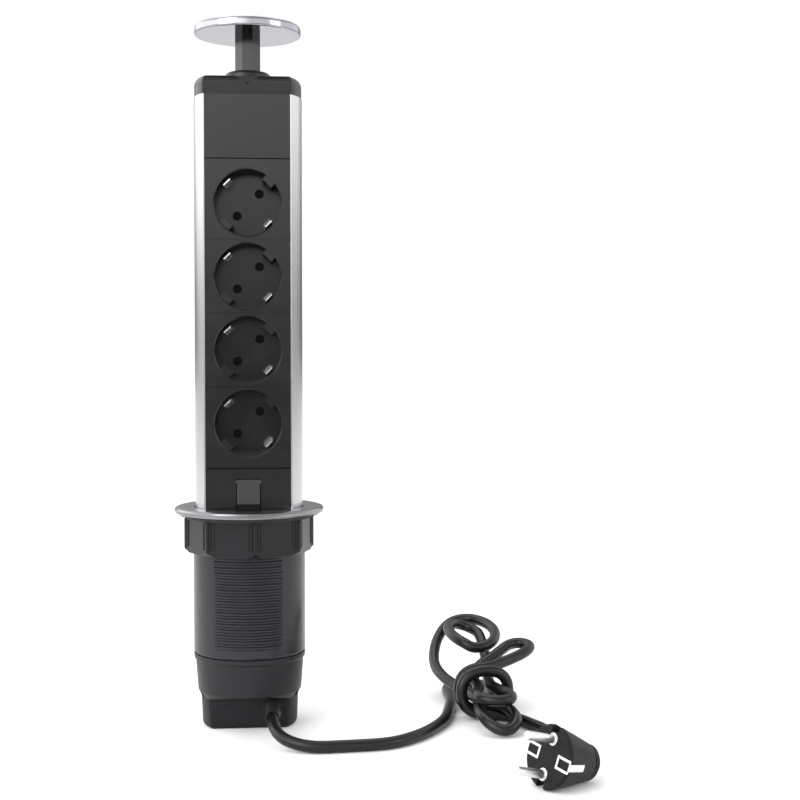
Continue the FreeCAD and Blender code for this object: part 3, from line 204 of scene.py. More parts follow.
@dataclass(frozen=True)
class MouldedPlastic:
    """Injection-moulded plastic with a fine eroded texture, soft sink marks and a slight bloom."""

    name: str
    colour: Colour = (0.010, 0.010, 0.011)
    roughness: float = 0.34
    texture: float = 0.00028
    depth: float = 0.000003
    sink: float = 0.011
    sink_depth: float = 0.000007
    gloss: float = 0.42
    bloom: float = 1.25
    patch: float = 1.7
    uneven: tuple[float, float] = (0.92, 1.10)

    def make(self) -> bpy.types.Material:
        """Draw the material."""
        pen = Pen(self.name)
        at = pen.place()
        fine = pen.noise(at, self.texture, detail=2.0)
        broad = pen.noise(at, self.sink, detail=1.0)
        cloud = pen.noise(at, self.sink * self.patch, detail=3.0)
        flow = pen.relief(broad, self.sink_depth)
        normal = pen.relief(fine, self.depth, flow)
        colour = pen.between(pen.span(cloud, 0.0, 1.0), self.colour, tinted(self.colour, self.bloom))
        rough = pen.span(cloud, *(self.roughness * share for share in self.uneven))
        return pen.finish({"Specular IOR Level": self.gloss, "IOR": 1.5},
                          {"Base Color": colour, "Roughness": rough, "Normal": normal})


@dataclass(frozen=True)
class Aluminium:
    """Anodised or polished aluminium with fine lines."""

    name: str
    colour: Colour = (0.78, 0.78, 0.80)
    roughness: float = 0.28
    grain: Grain = Grain.LENGTHWISE
    line: float = 0.00016
    run: float = 0.03
    depth: float = 0.000002
    tone: float = 0.96
    spread: tuple[float, float] = (0.25, 0.75)
    uneven: tuple[float, float] = (0.95, 1.06)

    def lines(self, pen: Pen) -> bpy.types.NodeSocket:
        """The noise that runs as lines."""
        if self.grain is Grain.TURNED:
            flat = pen.place((1.0, 1.0, 0.0))
            reach = pen.node("ShaderNodeVectorMath", {0: flat}, operation="LENGTH").outputs["Value"]
            ring = pen.node("ShaderNodeTexNoise", {"W": reach, "Scale": 1.0 / self.line, "Detail": 3.0},
                            noise_dimensions="1D")
            return ring.outputs[0]
        along = pen.place((1.0, 1.0, self.line / self.run))
        return pen.noise(along, self.line, detail=4.0, rough=0.65)

    def make(self) -> bpy.types.Material:
        """Draw the material."""
        pen = Pen(self.name)
        lines = self.lines(pen)
        dull = tinted(self.colour, self.tone)
        colour = pen.between(pen.span(lines, 0.0, 1.0, *self.spread), dull, self.colour)
        rough = pen.span(lines, *(self.roughness * share for share in self.uneven))
        return pen.finish({"Metallic": 1.0},
                          {"Base Color": colour, "Roughness": rough, "Normal": pen.relief(lines, self.depth)})


@dataclass(frozen=True)
class PlatedMetal:
    """Stamped, drawn or plated metal, slightly uneven."""

    name: str
    colour: Colour = (0.75, 0.74, 0.72)
    roughness: float = 0.22
    wear: float = 0.7
    spot: float = 0.0012
    depth: float = 0.0000015
    pit: float = 0.15
    spread: tuple[float, float] = (0.4, 0.75)
    uneven: tuple[float, float] = (0.9, 1.25)

    def make(self) -> bpy.types.Material:
        """Draw the material."""
        pen = Pen(self.name)
        at = pen.place()
        spots = pen.noise(at, self.spot, detail=4.0, rough=0.6)
        fine = pen.noise(at, self.spot * self.pit, detail=2.0)
        worn = tinted(self.colour, self.wear)
        colour = pen.between(pen.span(spots, 0.0, 1.0, *self.spread), self.colour, worn)
        rough = pen.span(spots, *(self.roughness * share for share in self.uneven))
        return pen.finish({"Metallic": 1.0},
                          {"Base Color": colour, "Roughness": rough, "Normal": pen.relief(fine, self.depth)})


@dataclass(frozen=True)
class SoftJacket:
    """Soft plastic or rubber, as on a cord, a plug or a seal."""

    name: str
    colour: Colour = (0.018, 0.018, 0.020)
    roughness: float = 0.42
    pore: float = 0.0003
    depth: float = 0.000008
    ripple: float = 0.006
    ripple_depth: float = 0.00003
    gloss: float = 0.42
    scuff: float = 0.6
    bloom: float = 1.5
    spread: tuple[float, float] = (0.5, 0.8)
    uneven: tuple[float, float] = (0.9, 1.15)

    def make(self) -> bpy.types.Material:
        """Draw the material."""
        pen = Pen(self.name)
        at = pen.place()
        pores = pen.noise(at, self.pore, detail=3.0)
        ripple = pen.noise(at, self.ripple, detail=2.0)
        scuff = pen.noise(at, self.ripple * self.scuff, detail=5.0, rough=0.7)
        normal = pen.relief(pores, self.depth, pen.relief(ripple, self.ripple_depth))
        bloomed = tinted(self.colour, self.bloom)
        colour = pen.between(pen.span(scuff, 0.0, 1.0, *self.spread), self.colour, bloomed)
        rough = pen.span(scuff, *(self.roughness * share for share in self.uneven))
        return pen.finish({"Specular IOR Level": self.gloss},
                          {"Base Color": colour, "Roughness": rough, "Normal": normal})


FINISHES = {
    Slot.PROFILE: Aluminium("satin_profile", (0.60, 0.60, 0.62), roughness=0.27),
    Slot.LID: Aluminium("polished_lid", (0.33, 0.33, 0.362), 0.13, Grain.TURNED, 0.00022, depth=0.000001),
    Slot.FLANGE: Aluminium("satin_flange", (0.28, 0.28, 0.292), 0.25, Grain.TURNED, 0.0002),
    Slot.CAP: MouldedPlastic("cap_plastic", (0.007, 0.007, 0.008), 0.30, gloss=0.35),
    Slot.BUSH: MouldedPlastic("bush_plastic", (0.006, 0.006, 0.007), 0.30, gloss=0.35),
    Slot.STEM: MouldedPlastic("stem_plastic", (0.010, 0.010, 0.011), 0.20, gloss=0.65),
    Slot.PANEL: MouldedPlastic("panel_plastic", (0.009, 0.009, 0.010), 0.22, gloss=0.45),
    Slot.FASCIA: MouldedPlastic("fascia_plastic", (0.008, 0.008, 0.0085), 0.22, gloss=0.48),
    Slot.LATCH: MouldedPlastic("latch_plastic", (0.013, 0.013, 0.015), 0.34, 0.0003, 0.000006),
    # near-black matte for the inner_black parts; also painted shade on the pin shutters and in the panel
    # seams
    Slot.INNER: MouldedPlastic("inner_plastic_and_painted_shade", (0.0025, 0.0025, 0.0025), 0.60, gloss=0.08),
    Slot.COLLAR: MouldedPlastic("collar_plastic", (0.010, 0.010, 0.012), 0.42, 0.0003, 0.000006, gloss=0.28),
    Slot.BOX: MouldedPlastic("box_plastic", (0.009, 0.009, 0.011), 0.48, 0.0003, 0.000006, gloss=0.18),
    Slot.TUBE: MouldedPlastic("tube_plastic", (0.010, 0.010, 0.013), 0.28, 0.0003, 0.000005, gloss=0.40),
    Slot.SHELF: MouldedPlastic("shelf_plastic", (0.009, 0.009, 0.010), 0.45, gloss=0.3),
    Slot.WASHER: MouldedPlastic("washer_plastic", (0.012, 0.012, 0.012), 0.5),
    Slot.NUT: MouldedPlastic("nut_plastic", (0.005, 0.005, 0.0065), 0.32, 0.0003, 0.000006, gloss=0.30),
    Slot.TERMINAL: MouldedPlastic("terminal_plastic", (0.80, 0.79, 0.74), 0.45, bloom=0.94),
    Slot.BRASS: PlatedMetal("contact_metal", (0.78, 0.58, 0.27), 0.25),
    Slot.CLIP: PlatedMetal("clip_metal", (0.88, 0.87, 0.85), 0.24, 0.85),
    Slot.PIN: PlatedMetal("pin_metal", (0.80, 0.80, 0.79), 0.30, 0.88),
    Slot.SPRING: PlatedMetal("spring_metal", (0.55, 0.55, 0.57), 0.28),
    Slot.SCREW: PlatedMetal("screw_metal", (0.62, 0.62, 0.64), 0.30),
    Slot.BLUE: SoftJacket("neutral_insulation", (0.03, 0.12, 0.50)),
    Slot.GREEN: SoftJacket("earth_insulation", (0.14, 0.42, 0.05)),
    Slot.BROWN: SoftJacket("live_insulation", (0.16, 0.06, 0.03)),
    Slot.GASKET: SoftJacket("gasket_rubber", (0.014, 0.014, 0.014), 0.6),
    Slot.CORD: SoftJacket("cord_jacket", (0.005, 0.005, 0.006), 0.32, gloss=0.32),
    Slot.PLUG: SoftJacket("plug_rubber", (0.006, 0.0055, 0.0055), 0.42, 0.00035, 0.00001, gloss=0.18),
}


class Paintbox:
    """Makes each finish once and hands it out by slot."""

    def __init__(self) -> None:
        """Start with nothing made."""
        self.made: dict[Slot, bpy.types.Material] = {}

    def get(self, slot: Slot) -> bpy.types.Material:
        """The material of a slot."""
        if slot not in self.made:
            self.made[slot] = FINISHES[slot].make()
        return self.made[slot]

    def paint(self, piece: bpy.types.Object, slot: Slot) -> None:
        """Give a new piece a slot's finish."""
        piece.data.materials.clear()
        piece.data.materials.append(self.get(slot))

    def paint_nodes(self, record: dict, nodes: dict) -> None:
        """Give every solid the finish of its slot.

        Args:
            record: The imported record.
            nodes: The solids by name.
        """
        for part in record["subparts"]:
            solid = nodes[part["node"]]
            material = self.get(Slot(part["material_slot"]))
            if not solid.material_slots:
                solid.data.materials.append(material)
            for place in solid.material_slots:
                place.material = material
            log.info("solid %s: %s", part["node"], material.name)


def put(name: str, form: bmesh.types.BMesh, body: str, smooth_angle: float = 35.0) -> bpy.types.Object:
    """Make an object of a form and let it ride on a body.

    Args:
        name: The piece's name.
        form: Its shape, in metres in the frame; it is freed.
        body: The body that it moves with.
        smooth_angle: Edges that turn by less than this are shaded smooth, in degrees.

    Returns:
        The new object.
    """
    bmesh.ops.remove_doubles(form, verts=form.verts, dist=MERGE)
    bmesh.ops.recalc_face_normals(form, faces=form.faces)
    mesh = bpy.data.meshes.new(name)
    form.to_mesh(mesh)
    form.free()
    for face in mesh.polygons:
        face.use_smooth = True
    mesh.set_sharp_from_angle(angle=math.radians(smooth_angle))
    piece = bpy.data.objects.new(name, mesh)
    bpy.context.scene.collection.objects.link(piece)
    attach(piece, body)
    log.info("piece %s: %d faces on %s", name, len(mesh.polygons), body)
    return piece


def turned(outline: list[tuple[float, float]], steps: int) -> bmesh.types.BMesh:
    """A form turned about Z from an outline.

    Args:
        outline: Points as (radius, height), in metres.
        steps: How many steps the full turn has.

    Returns:
        The form, with its poles merged.
    """
    form = bmesh.new()
    verts = [form.verts.new((r, 0.0, z)) for r, z in outline]
    edges = [form.edges.new(pair) for pair in zip(verts, verts[1:])]
    bmesh.ops.spin(form, geom=verts + edges, cent=(0, 0, 0), axis=(0, 0, 1), angle=2 * math.pi,
                   steps=steps, use_merge=True, dvec=(0, 0, 0))
    bmesh.ops.remove_doubles(form, verts=form.verts, dist=POLE_MERGE)
    return form


def join(form: bmesh.types.BMesh, other: bmesh.types.BMesh) -> None:
    """Add one form to another and free it.

    Args:
        form: The form that grows.
        other: The form that is added.
    """
    bmesh.ops.recalc_face_normals(other, faces=other.faces)
    mesh = bpy.data.meshes.new("part_of_a_form")
    other.to_mesh(mesh)
    other.free()
    form.from_mesh(mesh)
    bpy.data.meshes.remove(mesh)


def eased(share: float) -> float:
    """A smooth step from 0 to 1."""
    return 0.5 - 0.5 * math.cos(math.pi * share)


def raised(places: tuple[Point, ...], height: float) -> list[Point]:
    """Places lifted by a height."""
    return [(along, across, z + height) for along, across, z in places]


@dataclass(frozen=True)
class Fold:
    """One plain fold of the bundle, in metres."""

    length: float
    half: float
    lean: float
    lift: float


@dataclass(frozen=True)
class Turn:
    """A turn of the big fold, part of an ellipse along and across the bundle, in metres and degrees."""

    centre: tuple[float, float]
    reach: tuple[float, float]
    start: float
    sweep: float

    def place(self, share: float, height: float, drawn: tuple[float, float] = (1.0, 1.0)) -> Point:
        """A place on the turn.

        Args:
            share: How far round it is, from 0 to 1.
            height: Its height.
            drawn: How much of its reach is left along and across.

        Returns:
            The place, along, across and above the bundle.
        """
        a = math.radians(self.start + self.sweep * share)
        return (self.centre[0] + self.reach[0] * math.cos(a) * drawn[0],
                self.centre[1] + self.reach[1] * math.sin(a) * drawn[1], height)


@dataclass
class MainsCord:
    """The cord from the cable box through its tied bundle to the plug."""

    radius: float = 0.0035
    rest_z: float = 0.0036
    exit: Point = (0.014, -0.0174, 0.0116)
    lead: tuple[Point, ...] = (
        (0.014, -0.002, 0.0116), (0.014, -0.034, 0.0116), (0.014, -0.0465, 0.0116),
        (0.0185, -0.0645, 0.0068), (0.0345, -0.074, 0.0036), (0.0575, -0.072, 0.0036),
        (0.0825, -0.069, 0.0036), (0.0985, -0.0545, 0.0036), (0.109, -0.0395, 0.0036),
        (0.1193, -0.0181, 0.0036))
    length: float = 1.26
    waist: tuple[float, float] = (0.145, -0.002)
    heading: float = 94.0
    strand_offset: float = 0.0042
    low_row: float = 0.0119
    row_pitch: float = 0.0079
    steps: int = 12
    shape: float = 1.5
    under: Fold = Fold(0.074, 0.0135, 0.0, 0.0)
    under_start: tuple[Point, ...] = ((0.0121, -0.0197, 0.0036), (0.025, -0.0164, 0.0036),
                                      (0.0385, -0.0142, 0.0036))
    under_skipped: int = 3
    under_rise_from: float = 0.55
    under_rise_power: float = 1.3
    lift_power: float = 2.5
    front: tuple[Fold, Fold] = (Fold(0.048, 0.010, 0.003, -0.0077), Fold(0.035, 0.010, 0.0025, -0.001))
    big_fold_in: tuple[Point, ...] = ((0.0, -0.0042, 0.0), (0.0125, -0.0068, 0.0002),
                                      (0.026, -0.0122, 0.0014))
    big_fold_out: tuple[Point, ...] = ((0.037, 0.0098, 0.0123), (0.025, 0.0074, 0.0094),
                                       (0.0125, 0.0052, 0.0083))
    turn_steps: int = 9
    outer: Turn = Turn((0.058, 0.0), (0.031, 0.022), -118.0, 296.0)
    outer_heights: tuple[float, float, float] = (0.017, 0.046, 0.036)
    outer_rise: float = 0.42
    outer_draw_in: tuple[float, float] = (0.28, 0.35)
    inner: Turn = Turn((0.0575, 0.001), (0.0215, 0.0128), 178.0, 240.0)
    inner_rise: float = 0.0085
    inner_swell: float = 0.83
    inner_crest: float = 0.6
    inner_fall: float = 0.0024
    beak: tuple[Point, ...] = (
        (0.0, -0.0042, 0.0), (0.0105, -0.0048, 0.0016), (0.0195, -0.0024, 0.0052),
        (0.0255, 0.0044, 0.0088), (0.0300, 0.0126, 0.0119), (0.0355, 0.0190, 0.0148),
        (0.0415, 0.0250, 0.0168), (0.0425, 0.0330, 0.0176), (0.0345, 0.0385, 0.0168),
        (0.0245, 0.0320, 0.0148), (0.0175, 0.0215, 0.0126), (0.013, 0.012, 0.0106))
    wrap_half: float = 0.0156
    wrap_rise: float = 0.0134
    wrap_lift: float = -0.0002
    wrap_square: float = 0.85
    wrap_turns: float = 1.533
    wrap_start: float = 78.0
    wrap_from: float = 0.007
    wrap_pitch: float = 0.0088
    wrap_exit: tuple[Point, ...] = ((-0.010, 0.0115, 0.0036), (-0.0195, 0.017, 0.0036),
                                    (-0.031, 0.0215, 0.0036))
    tail_first_run: float = 0.021
    tail_last_run: float = 0.018
    tail_rise: float = 0.0008
    relief_depth: float = 0.010
    relief_root: Point = (0.0, 0.0, 0.0)
    relief_way: Point = (0.0, 1.0, 0.0)
    relief_length: float = 0.040
    round_steps: int = 5
    run_steps: int = 10

    def on_bundle(self, along: float, across: float, z: float) -> Point:
        """A place in the frame from one along, across and above the bundle."""
        a = math.radians(self.heading)
        x, y = self.waist
        return (x + along * math.cos(a) + across * math.sin(a),
                y + along * math.sin(a) - across * math.cos(a), z)

    def fold(self, fold: Fold, z0: float, z1: float, side: int) -> list[Point]:
        """Places on one plain fold, from its first strand at the waist round to the other.

        Args:
            fold: The fold's sizes.
            z0: The height of its first strand.
            z1: The height of its last strand.
            side: 1 for a fold to the rear, -1 for one to the front.

        Returns:
            The places, along, across and above the bundle.
        """
        eighth = math.pi / 4
        bow = (fold.half / math.cos(eighth) - self.strand_offset) / math.sin(eighth) ** self.shape
        places = []
        for i in range(self.steps):
            phi = math.pi * i / self.steps
            swing = math.sin(phi) ** 2
            across = -side * math.cos(phi) * (self.strand_offset + bow * math.sin(phi) ** self.shape)
            height = z0 + (z1 - z0) * i / self.steps + fold.lift * swing ** self.lift_power
            places.append((side * fold.length * math.sin(phi), across + fold.lean * swing, height))
        return places

    def under_fold(self) -> list[Point]:
        """The first fold, which lies on the floor and climbs to the waist at its end."""
        places = []
        for along, across, way in self.fold(self.under, 0.0, 1.0, 1)[self.under_skipped:]:
            late = max(0.0, (way - self.under_rise_from) / (1 - self.under_rise_from))
            climb = late ** self.under_rise_power
            places.append((along, across, self.rest_z + (self.low_row - self.rest_z) * climb))
        return list(self.under_start) + places

    def outer_turn(self) -> list[Point]:
        """The big fold's outer turn, which climbs to its far end and is drawn in where it crosses."""
        near, far, cross = self.outer_heights
        places = []
        for i in range(self.turn_steps + 1):
            share = i / self.turn_steps
            late = max(0.0, (share - self.inner_crest) / (1 - self.inner_crest))
            if share < self.outer_rise:
                height = near + (far - near) * eased(share / self.outer_rise)
            else:
                height = far + (cross - far) * eased((share - self.outer_rise) / (1 - self.outer_rise))
            drawn = (1 - self.outer_draw_in[0] * late ** 2, 1 - self.outer_draw_in[1] * late)
            places.append(self.outer.place(share, height, drawn))
        return places

    def inner_turn(self) -> list[Point]:
        """The big fold's inner turn, which rides over the outer one."""
        cross = self.outer_heights[-1]
        places = []
        for i in range(1, self.turn_steps + 1):
            share = i / self.turn_steps
            swell = self.inner_rise * math.sin(math.pi * share * self.inner_swell)
            fall = self.inner_fall * max(0.0, share - self.inner_crest) / (1 - self.inner_crest)
            places.append(self.inner.place(share, cross + swell - fall))
        return places

    def big_fold(self, z: float) -> list[Point]:
        """The rear fold that goes round twice, from and to the waist at a height."""
        return (raised(self.big_fold_in, z) + self.outer_turn() + self.inner_turn()
                + raised(self.big_fold_out, z))

    def wrap(self) -> list[Point]:
        """The last turns, a square-shouldered helix round the waist."""
        def square(r: float, c: float) -> float:
            """A rounded square's reach."""
            return r * math.copysign(abs(c) ** self.wrap_square, c)

        count = round(self.wrap_turns * self.steps)
        middle = self.rest_z + self.wrap_lift + self.wrap_rise
        places = []
        for i in range(count + 1):
            turn = self.wrap_turns * i / count
            a = math.radians(self.wrap_start + 360.0 * turn)
            places.append((self.wrap_from - self.wrap_pitch * turn, square(self.wrap_half, math.cos(a)),
                           middle + square(self.wrap_rise, math.sin(a))))
        return places

    def bundle(self) -> list[Point]:
        """The bundle's points: a fold under it, two folds each way in turn, then the wrap."""
        low, high = self.low_row, self.low_row + self.row_pitch
        places = self.under_fold()
        places += self.fold(self.front[0], low, low, -1) + self.big_fold(low)
        places += self.fold(self.front[1], high, high, -1) + raised(self.beak, high)
        places += self.wrap() + list(self.wrap_exit)
        return [self.on_bundle(*place) for place in places]

    def tail(self, bundle: list[Point]) -> list[Point]:
        """The points from the bundle into the plug's strain relief."""
        way = Vector(self.relief_way).normalized()
        tip = Vector(self.relief_root) + way * self.relief_length
        last = Vector(bundle[-1])
        back = last + (last - Vector(bundle[-2])).normalized() * self.tail_first_run
        outer = tip + way * self.tail_last_run
        outer.z = max(outer.z, self.rest_z + self.tail_rise)
        return [tuple(back), tuple(outer), tuple(tip - way * self.relief_depth)]

    def build(self, paints: Paintbox, nodes: dict) -> bpy.types.Object:
        """Args:
            paints: The finishes.
            nodes: The solids by name; not used.

        Returns:
            The cord.
        """
        bundle = self.bundle()
        points = list(self.lead) + bundle + self.tail(bundle)
        curve = bpy.data.curves.new("mains_cord", "CURVE")
        curve.dimensions = "3D"
        curve.bevel_depth = self.radius
        curve.bevel_resolution = self.round_steps
        curve.resolution_u = self.run_steps
        curve.use_fill_caps = True
        spline = curve.splines.new("NURBS")
        spline.points.add(len(points) - 1)
        for place, point in zip(spline.points, points):
            place.co = (*point, 1.0)
        spline.order_u = 3
        spline.use_endpoint_u = True
        cord = bpy.data.objects.new("mains_cord", curve)
        bpy.context.scene.collection.objects.link(cord)
        paints.paint(cord, Slot.CORD)
        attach(cord, "tower")
        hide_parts("cord_lead", "cord_hank", "cord_tail")
        log.info("piece mains_cord: %d points, %.2f m", len(points), self.length)
        return cord


@dataclass
class CordRelief:
    """The ribbed strain relief where the cord leaves the cable box, in metres."""

    collar: float = 0.0014
    collar_r: float = 0.0064
    root_r: float = 0.0056
    tip_r: float = 0.0044
    bore_r: float = 0.00365
    grooves: int = 5
    groove: float = 0.0011
    groove_depth: float = 0.0007
    plain: float = 0.0022
    edge: float = 0.0003
    steps: int = 48

    def outline(self, length: float) -> list[tuple[float, float]]:
        """The relief's half section as (radius, distance from the box), round to its start."""
        def reach(h: float) -> float:
            """The tapered wall's radius at a distance."""
            return self.root_r + (self.tip_r - self.root_r) * (h - self.collar) / (length - self.collar)

        points = [(self.bore_r, 0.0), (self.collar_r, 0.0), (self.collar_r, self.collar - self.edge),
                  (self.collar_r - self.edge, self.collar), (reach(self.collar), self.collar)]
        pitch = (length - self.collar - 2 * self.plain - self.groove) / (self.grooves - 1)
        for i in range(self.grooves):
            start = self.collar + self.plain + i * pitch
            end = start + self.groove
            floor = max(reach(start) - self.groove_depth, self.bore_r + self.edge)
            points += [(reach(start), start), (floor, start + self.edge), (floor, end - self.edge),
                       (reach(end), end)]
        return points + [(self.tip_r, length - self.edge), (self.tip_r - self.edge, length),
                         (self.bore_r, length), (self.bore_r, 0.0)]

    def build(self, paints: Paintbox) -> bpy.types.Object:
        """Make the relief over its solid and put it in its place."""
        low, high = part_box("cord_boot")
        x, z = (low[0] + high[0]) / 2, (low[2] + high[2]) / 2
        form = turned(self.outline(MainsCord.exit[1] - low[1]), self.steps)
        bmesh.ops.rotate(form, verts=form.verts, matrix=Matrix.Rotation(math.pi / 2, 3, "X"))
        bmesh.ops.translate(form, verts=form.verts, vec=(x, MainsCord.exit[1], z))
        relief = put("cord_relief", form, "tower", smooth_angle=30.0)
        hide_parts("cord_boot")
        paints.paint(relief, Slot.CORD)
        return relief


@dataclass
class PinShuttersAndHoleShade:
    """The shutters behind the pin holes of the sockets, in metres; their near-black also paints the shade
    deep in the holes.
    """

    pitch: float = 0.019
    turn: float = 45.0
    radius: float = 0.00262
    thickness: float = 0.0007
    edge: float = 0.0002
    sunk: float = 0.0007
    steps: int = 32

    def build(self, record: dict, paints: Paintbox) -> bpy.types.Object:
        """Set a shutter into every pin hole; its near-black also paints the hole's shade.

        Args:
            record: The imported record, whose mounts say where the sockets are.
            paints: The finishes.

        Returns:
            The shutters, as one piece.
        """
        r, t, e = self.radius, self.thickness, self.edge
        form = bmesh.new()
        for mount in record["mounts"]:
            if not mount["name"].startswith("socket_"):
                continue
            x, y, z = mount["pos_m"]
            for side in (-1, 1):
                disc = turned([(0.0, 0.0), (r - e, 0.0), (r, e), (r, t), (0.0, t)], self.steps)
                bmesh.ops.rotate(disc, verts=disc.verts, matrix=Matrix.Rotation(-math.pi / 2, 3, "X"))
                a = math.radians(self.turn)
                reach = side * self.pitch / 2
                place = (x + reach * math.cos(a), y + self.sunk, z + reach * math.sin(a))
                bmesh.ops.translate(disc, verts=disc.verts, vec=place)
                join(form, disc)
        shutters = put("pin_shutters_and_hole_shade", form, "tower")
        # near-black matte on the shutters: painted shade down the pin holes
        paints.paint(shutters, Slot.INNER)
        return shutters


@dataclass
class PanelSeamShade:
    """Near-black strips in the seams above and below the socket fascia, painted shade for the gaps, in
    metres.
    """

    upper: float = 0.0005
    lower: float = 0.0010
    proud: float = 0.00003
    depth: float = 0.0004
    inset: float = 0.0002

    def build(self, paints: Paintbox) -> bpy.types.Object:
        """Lay the two strips of painted shade into the seams.

        Args:
            paints: The finishes.

        Returns:
            The strips, as one piece.
        """
        low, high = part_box("foot_panel")
        fascia_low, fascia_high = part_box("socket_fascia")
        form = bmesh.new()
        for z, height in ((fascia_high[2], self.upper), (fascia_low[2], self.lower)):
            strip = bmesh.new()
            bmesh.ops.create_cube(strip, size=1.0)
            width = high[0] - low[0] - 2 * self.inset
            bmesh.ops.scale(strip, verts=strip.verts, vec=(width, self.depth, height))
            bmesh.ops.bevel(strip, geom=strip.edges[:], offset=self.proud, affect="EDGES", segments=1,
                            profile=0.5, material=-1)
            middle = ((low[0] + high[0]) / 2, low[1] - self.proud + self.depth / 2, z)
            bmesh.ops.translate(strip, verts=strip.verts, vec=middle)
            join(form, strip)
        seam_shade = put("panel_seam_shade", form, "tower")
        # near-black matte strips: painted shade in the panel seams
        paints.paint(seam_shade, Slot.INNER)
        return seam_shade


@dataclass
class NutGrips:
    """Pairs of upright grip ribs beside the clamp nut's corners, in metres and degrees."""

    corners: int = 8
    first: float = 6.5
    reach: float = 0.0390
    beside: tuple[float, ...] = (-0.0042, -0.0022, 0.0022, 0.0042)
    radius: float = 0.0006
    low_end: float = 0.0035
    steps: int = 12

    def build(self, paints: Paintbox) -> bpy.types.Object:
        """Raise the ribs on the nut's faces.

        Args:
            paints: The finishes.

        Returns:
            The ribs, as one piece.
        """
        low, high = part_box("clamp_nut")
        foot, top = low[2] + self.low_end, high[2] - self.radius
        half_step = math.pi / self.corners
        face = self.reach * math.cos(half_step)
        form = bmesh.new()
        for i in range(self.corners):
            corner = math.radians(self.first + 360.0 * i / self.corners)
            for beside in self.beside:
                way = math.copysign(1.0, beside)
                normal = corner + way * half_step
                off = self.reach * math.sin(half_step) - abs(beside)
                centre = (face * math.cos(normal) + way * off * math.sin(normal),
                          face * math.sin(normal) - way * off * math.cos(normal))
                rib = turned([(0.0, foot), (self.radius, foot + self.radius), (self.radius, top),
                              (0.0, top)], self.steps)
                bmesh.ops.translate(rib, verts=rib.verts, vec=(*centre, 0.0))
                join(form, rib)
        grips = put("nut_grips", form, "nut", smooth_angle=50.0)
        paints.paint(grips, Slot.NUT)
        return grips


@dataclass
class Plug:
    """The angled plug that lies beside the bundle, as its mount in the record says."""

    seat: float = 0.012
    relief_length: float = 0.040
    relief_drop: float = 0.0062

    def relief_root(self, record: dict) -> Point:
        """Where the strain relief starts, inside the plug."""
        mount = next(m for m in record["mounts"] if m["name"] == "plug_pins")
        return tuple(p - self.seat * a for p, a in zip(mount["pos_m"], mount["axis"]))

    def relief_way(self) -> Point:
        """The way from the relief's root to its tip."""
        return (0.0, math.sqrt(self.relief_length ** 2 - self.relief_drop ** 2), -self.relief_drop)


@dataclass(frozen=True)
class Ramp:
    """A smooth change of the sky's strength along one axis of the direction looked in."""

    axis: str
    start: float
    end: float
    strength_at_start: float
    strength_at_end: float


@dataclass(frozen=True)
class Lamp:
    """One soft rectangular light, in metres and watts."""

    name: str
    at: Point
    aim: Point
    size: tuple[float, float]
    power: float


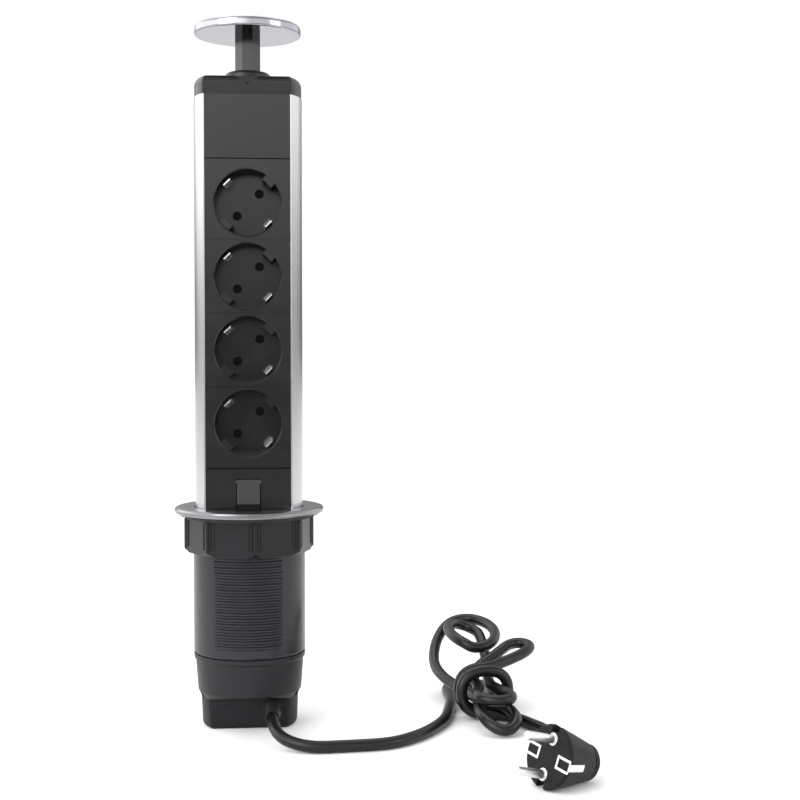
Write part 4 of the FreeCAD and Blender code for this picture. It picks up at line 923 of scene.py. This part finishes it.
@dataclass
class Studio:
    """The pale floor, the soft lights and the camera."""

    floor_x: float = 6.0
    floor_front: float = -0.95
    floor_back: float = 8.0
    camera_at: Point = (0.0247, -0.8744, 0.2290)
    camera_turn: Point = (87.97, 0.0, -4.44)
    focal_px: float = 1423.5
    image_px: float = 800.0
    sensor: float = 36.0
    clip: tuple[float, float] = (0.01, 50.0)
    floor_patch: float = 0.3
    floor_tones: tuple[Colour, Colour] = ((0.90, 0.90, 0.90), (0.92, 0.92, 0.92))
    backdrop: float = 1.05
    ramps: tuple[Ramp, ...] = (
        Ramp("Z", -0.02, 0.20, 0.07, 2.6),
        Ramp("Z", 0.28, 0.75, 1.0, 0.40),
        Ramp("X", -0.25, 0.20, 1.12, 0.62),
        Ramp("Y", 0.65, 0.95, 1.0, 0.25))
    lamps: tuple[Lamp, ...] = (
        Lamp("key_left", (-0.95, -0.95, 0.95), (0.0, 0.0, 0.2), (0.9, 1.2), 11.0),
        Lamp("fill_right", (1.2, -0.6, 0.6), (0.0, 0.0, 0.2), (0.6, 1.0), 3.0),
        Lamp("top_back", (0.0, 0.5, 1.5), (0.05, 0.0, 0.1), (1.4, 0.9), 8.0))

    def floor(self) -> bpy.types.Object:
        """Lay the floor."""
        form = bmesh.new()
        x, y0, y1 = self.floor_x, self.floor_front, self.floor_back
        corners = [form.verts.new(p) for p in ((-x, y0, 0), (x, y0, 0), (x, y1, 0), (-x, y1, 0))]
        form.faces.new(corners)
        mesh = bpy.data.meshes.new("studio_floor")
        form.to_mesh(mesh)
        form.free()
        floor = bpy.data.objects.new("studio_floor", mesh)
        bpy.context.scene.collection.objects.link(floor)
        pen = Pen("pale_floor")
        patches = pen.noise(pen.place(), self.floor_patch, detail=2.0)
        tone = pen.between(patches, *self.floor_tones)
        mesh.materials.append(pen.finish({"Roughness": 0.9, "Specular IOR Level": 0.1}, {"Base Color": tone}))
        return floor

    def sky(self) -> None:
        """Surround the part with soft light: white behind it, brighter above and to the left."""
        world = bpy.data.worlds.new("studio")
        bpy.context.scene.world = world
        world.use_nodes = True
        tree = world.node_tree
        tree.nodes.clear()
        at = tree.nodes.new("ShaderNodeTexCoord")
        parts = tree.nodes.new("ShaderNodeSeparateXYZ")
        tree.links.new(at.outputs["Generated"], parts.inputs[0])

        strength = None
        for ramp in self.ramps:
            share = tree.nodes.new("ShaderNodeMapRange")
            share.interpolation_type = "SMOOTHSTEP"
            for key, value in (("From Min", ramp.start), ("From Max", ramp.end),
                               ("To Min", ramp.strength_at_start), ("To Max", ramp.strength_at_end)):
                share.inputs[key].default_value = value
            tree.links.new(parts.outputs[ramp.axis], share.inputs["Value"])
            if strength is None:
                strength = share.outputs["Result"]
                continue
            both = tree.nodes.new("ShaderNodeMath")
            both.operation = "MULTIPLY"
            tree.links.new(strength, both.inputs[0])
            tree.links.new(share.outputs["Result"], both.inputs[1])
            strength = both.outputs[0]

        light = tree.nodes.new("ShaderNodeBackground")
        tree.links.new(strength, light.inputs["Strength"])
        backdrop = tree.nodes.new("ShaderNodeBackground")
        backdrop.inputs["Strength"].default_value = self.backdrop
        seen = tree.nodes.new("ShaderNodeLightPath")
        mix = tree.nodes.new("ShaderNodeMixShader")
        tree.links.new(seen.outputs["Is Camera Ray"], mix.inputs[0])
        tree.links.new(light.outputs[0], mix.inputs[1])
        tree.links.new(backdrop.outputs[0], mix.inputs[2])
        for node in (light, backdrop):
            node.inputs["Color"].default_value = (1.0, 1.0, 1.0, 1.0)
        out = tree.nodes.new("ShaderNodeOutputWorld")
        tree.links.new(mix.outputs[0], out.inputs["Surface"])

    def hang(self, lamp: Lamp) -> None:
        """Hang one soft light.

        Args:
            lamp: Its name, place, aim, size and power.
        """
        data = bpy.data.lights.new(lamp.name, "AREA")
        data.shape = "RECTANGLE"
        data.size, data.size_y = lamp.size
        data.energy = lamp.power
        hung = bpy.data.objects.new(lamp.name, data)
        hung.location = lamp.at
        hung.rotation_euler = (Vector(lamp.aim) - Vector(lamp.at)).to_track_quat("-Z", "Y").to_euler()
        bpy.context.scene.collection.objects.link(hung)

    def camera(self) -> None:
        """Stand the camera where the photograph was taken from."""
        data = bpy.data.cameras.new("camera")
        data.sensor_fit = "HORIZONTAL"
        data.sensor_width = self.sensor
        data.lens = self.focal_px / self.image_px * self.sensor
        data.clip_start, data.clip_end = self.clip
        camera = bpy.data.objects.new("camera", data)
        camera.location = self.camera_at
        camera.rotation_euler = [math.radians(a) for a in self.camera_turn]
        bpy.context.scene.collection.objects.link(camera)
        bpy.context.scene.camera = camera

    def build(self) -> None:
        """Set up the whole studio."""
        self.camera()
        self.floor()
        self.sky()
        for lamp in self.lamps:
            self.hang(lamp)
        bpy.context.scene.view_settings.view_transform = "Standard"
        log.info("studio: camera, floor and %d lights", len(self.lamps))


def main() -> None:
    """Build everything in order."""
    logging.basicConfig(level=logging.INFO, format="%(message)s")
    nodes = frame["nodes"]
    studio = Studio()
    studio.build()
    paints = Paintbox()
    plug = Plug()
    cord = MainsCord(relief_root=plug.relief_root(frame["record"]), relief_way=plug.relief_way(),
                     relief_length=plug.relief_length)
    cord.build(paints, nodes)
    CordRelief().build(paints)
    PinShuttersAndHoleShade().build(frame["record"], paints)
    PanelSeamShade().build(paints)
    NutGrips().build(paints)
    paints.paint_nodes(frame["record"], nodes)


if __name__ == "__main__":
    main()
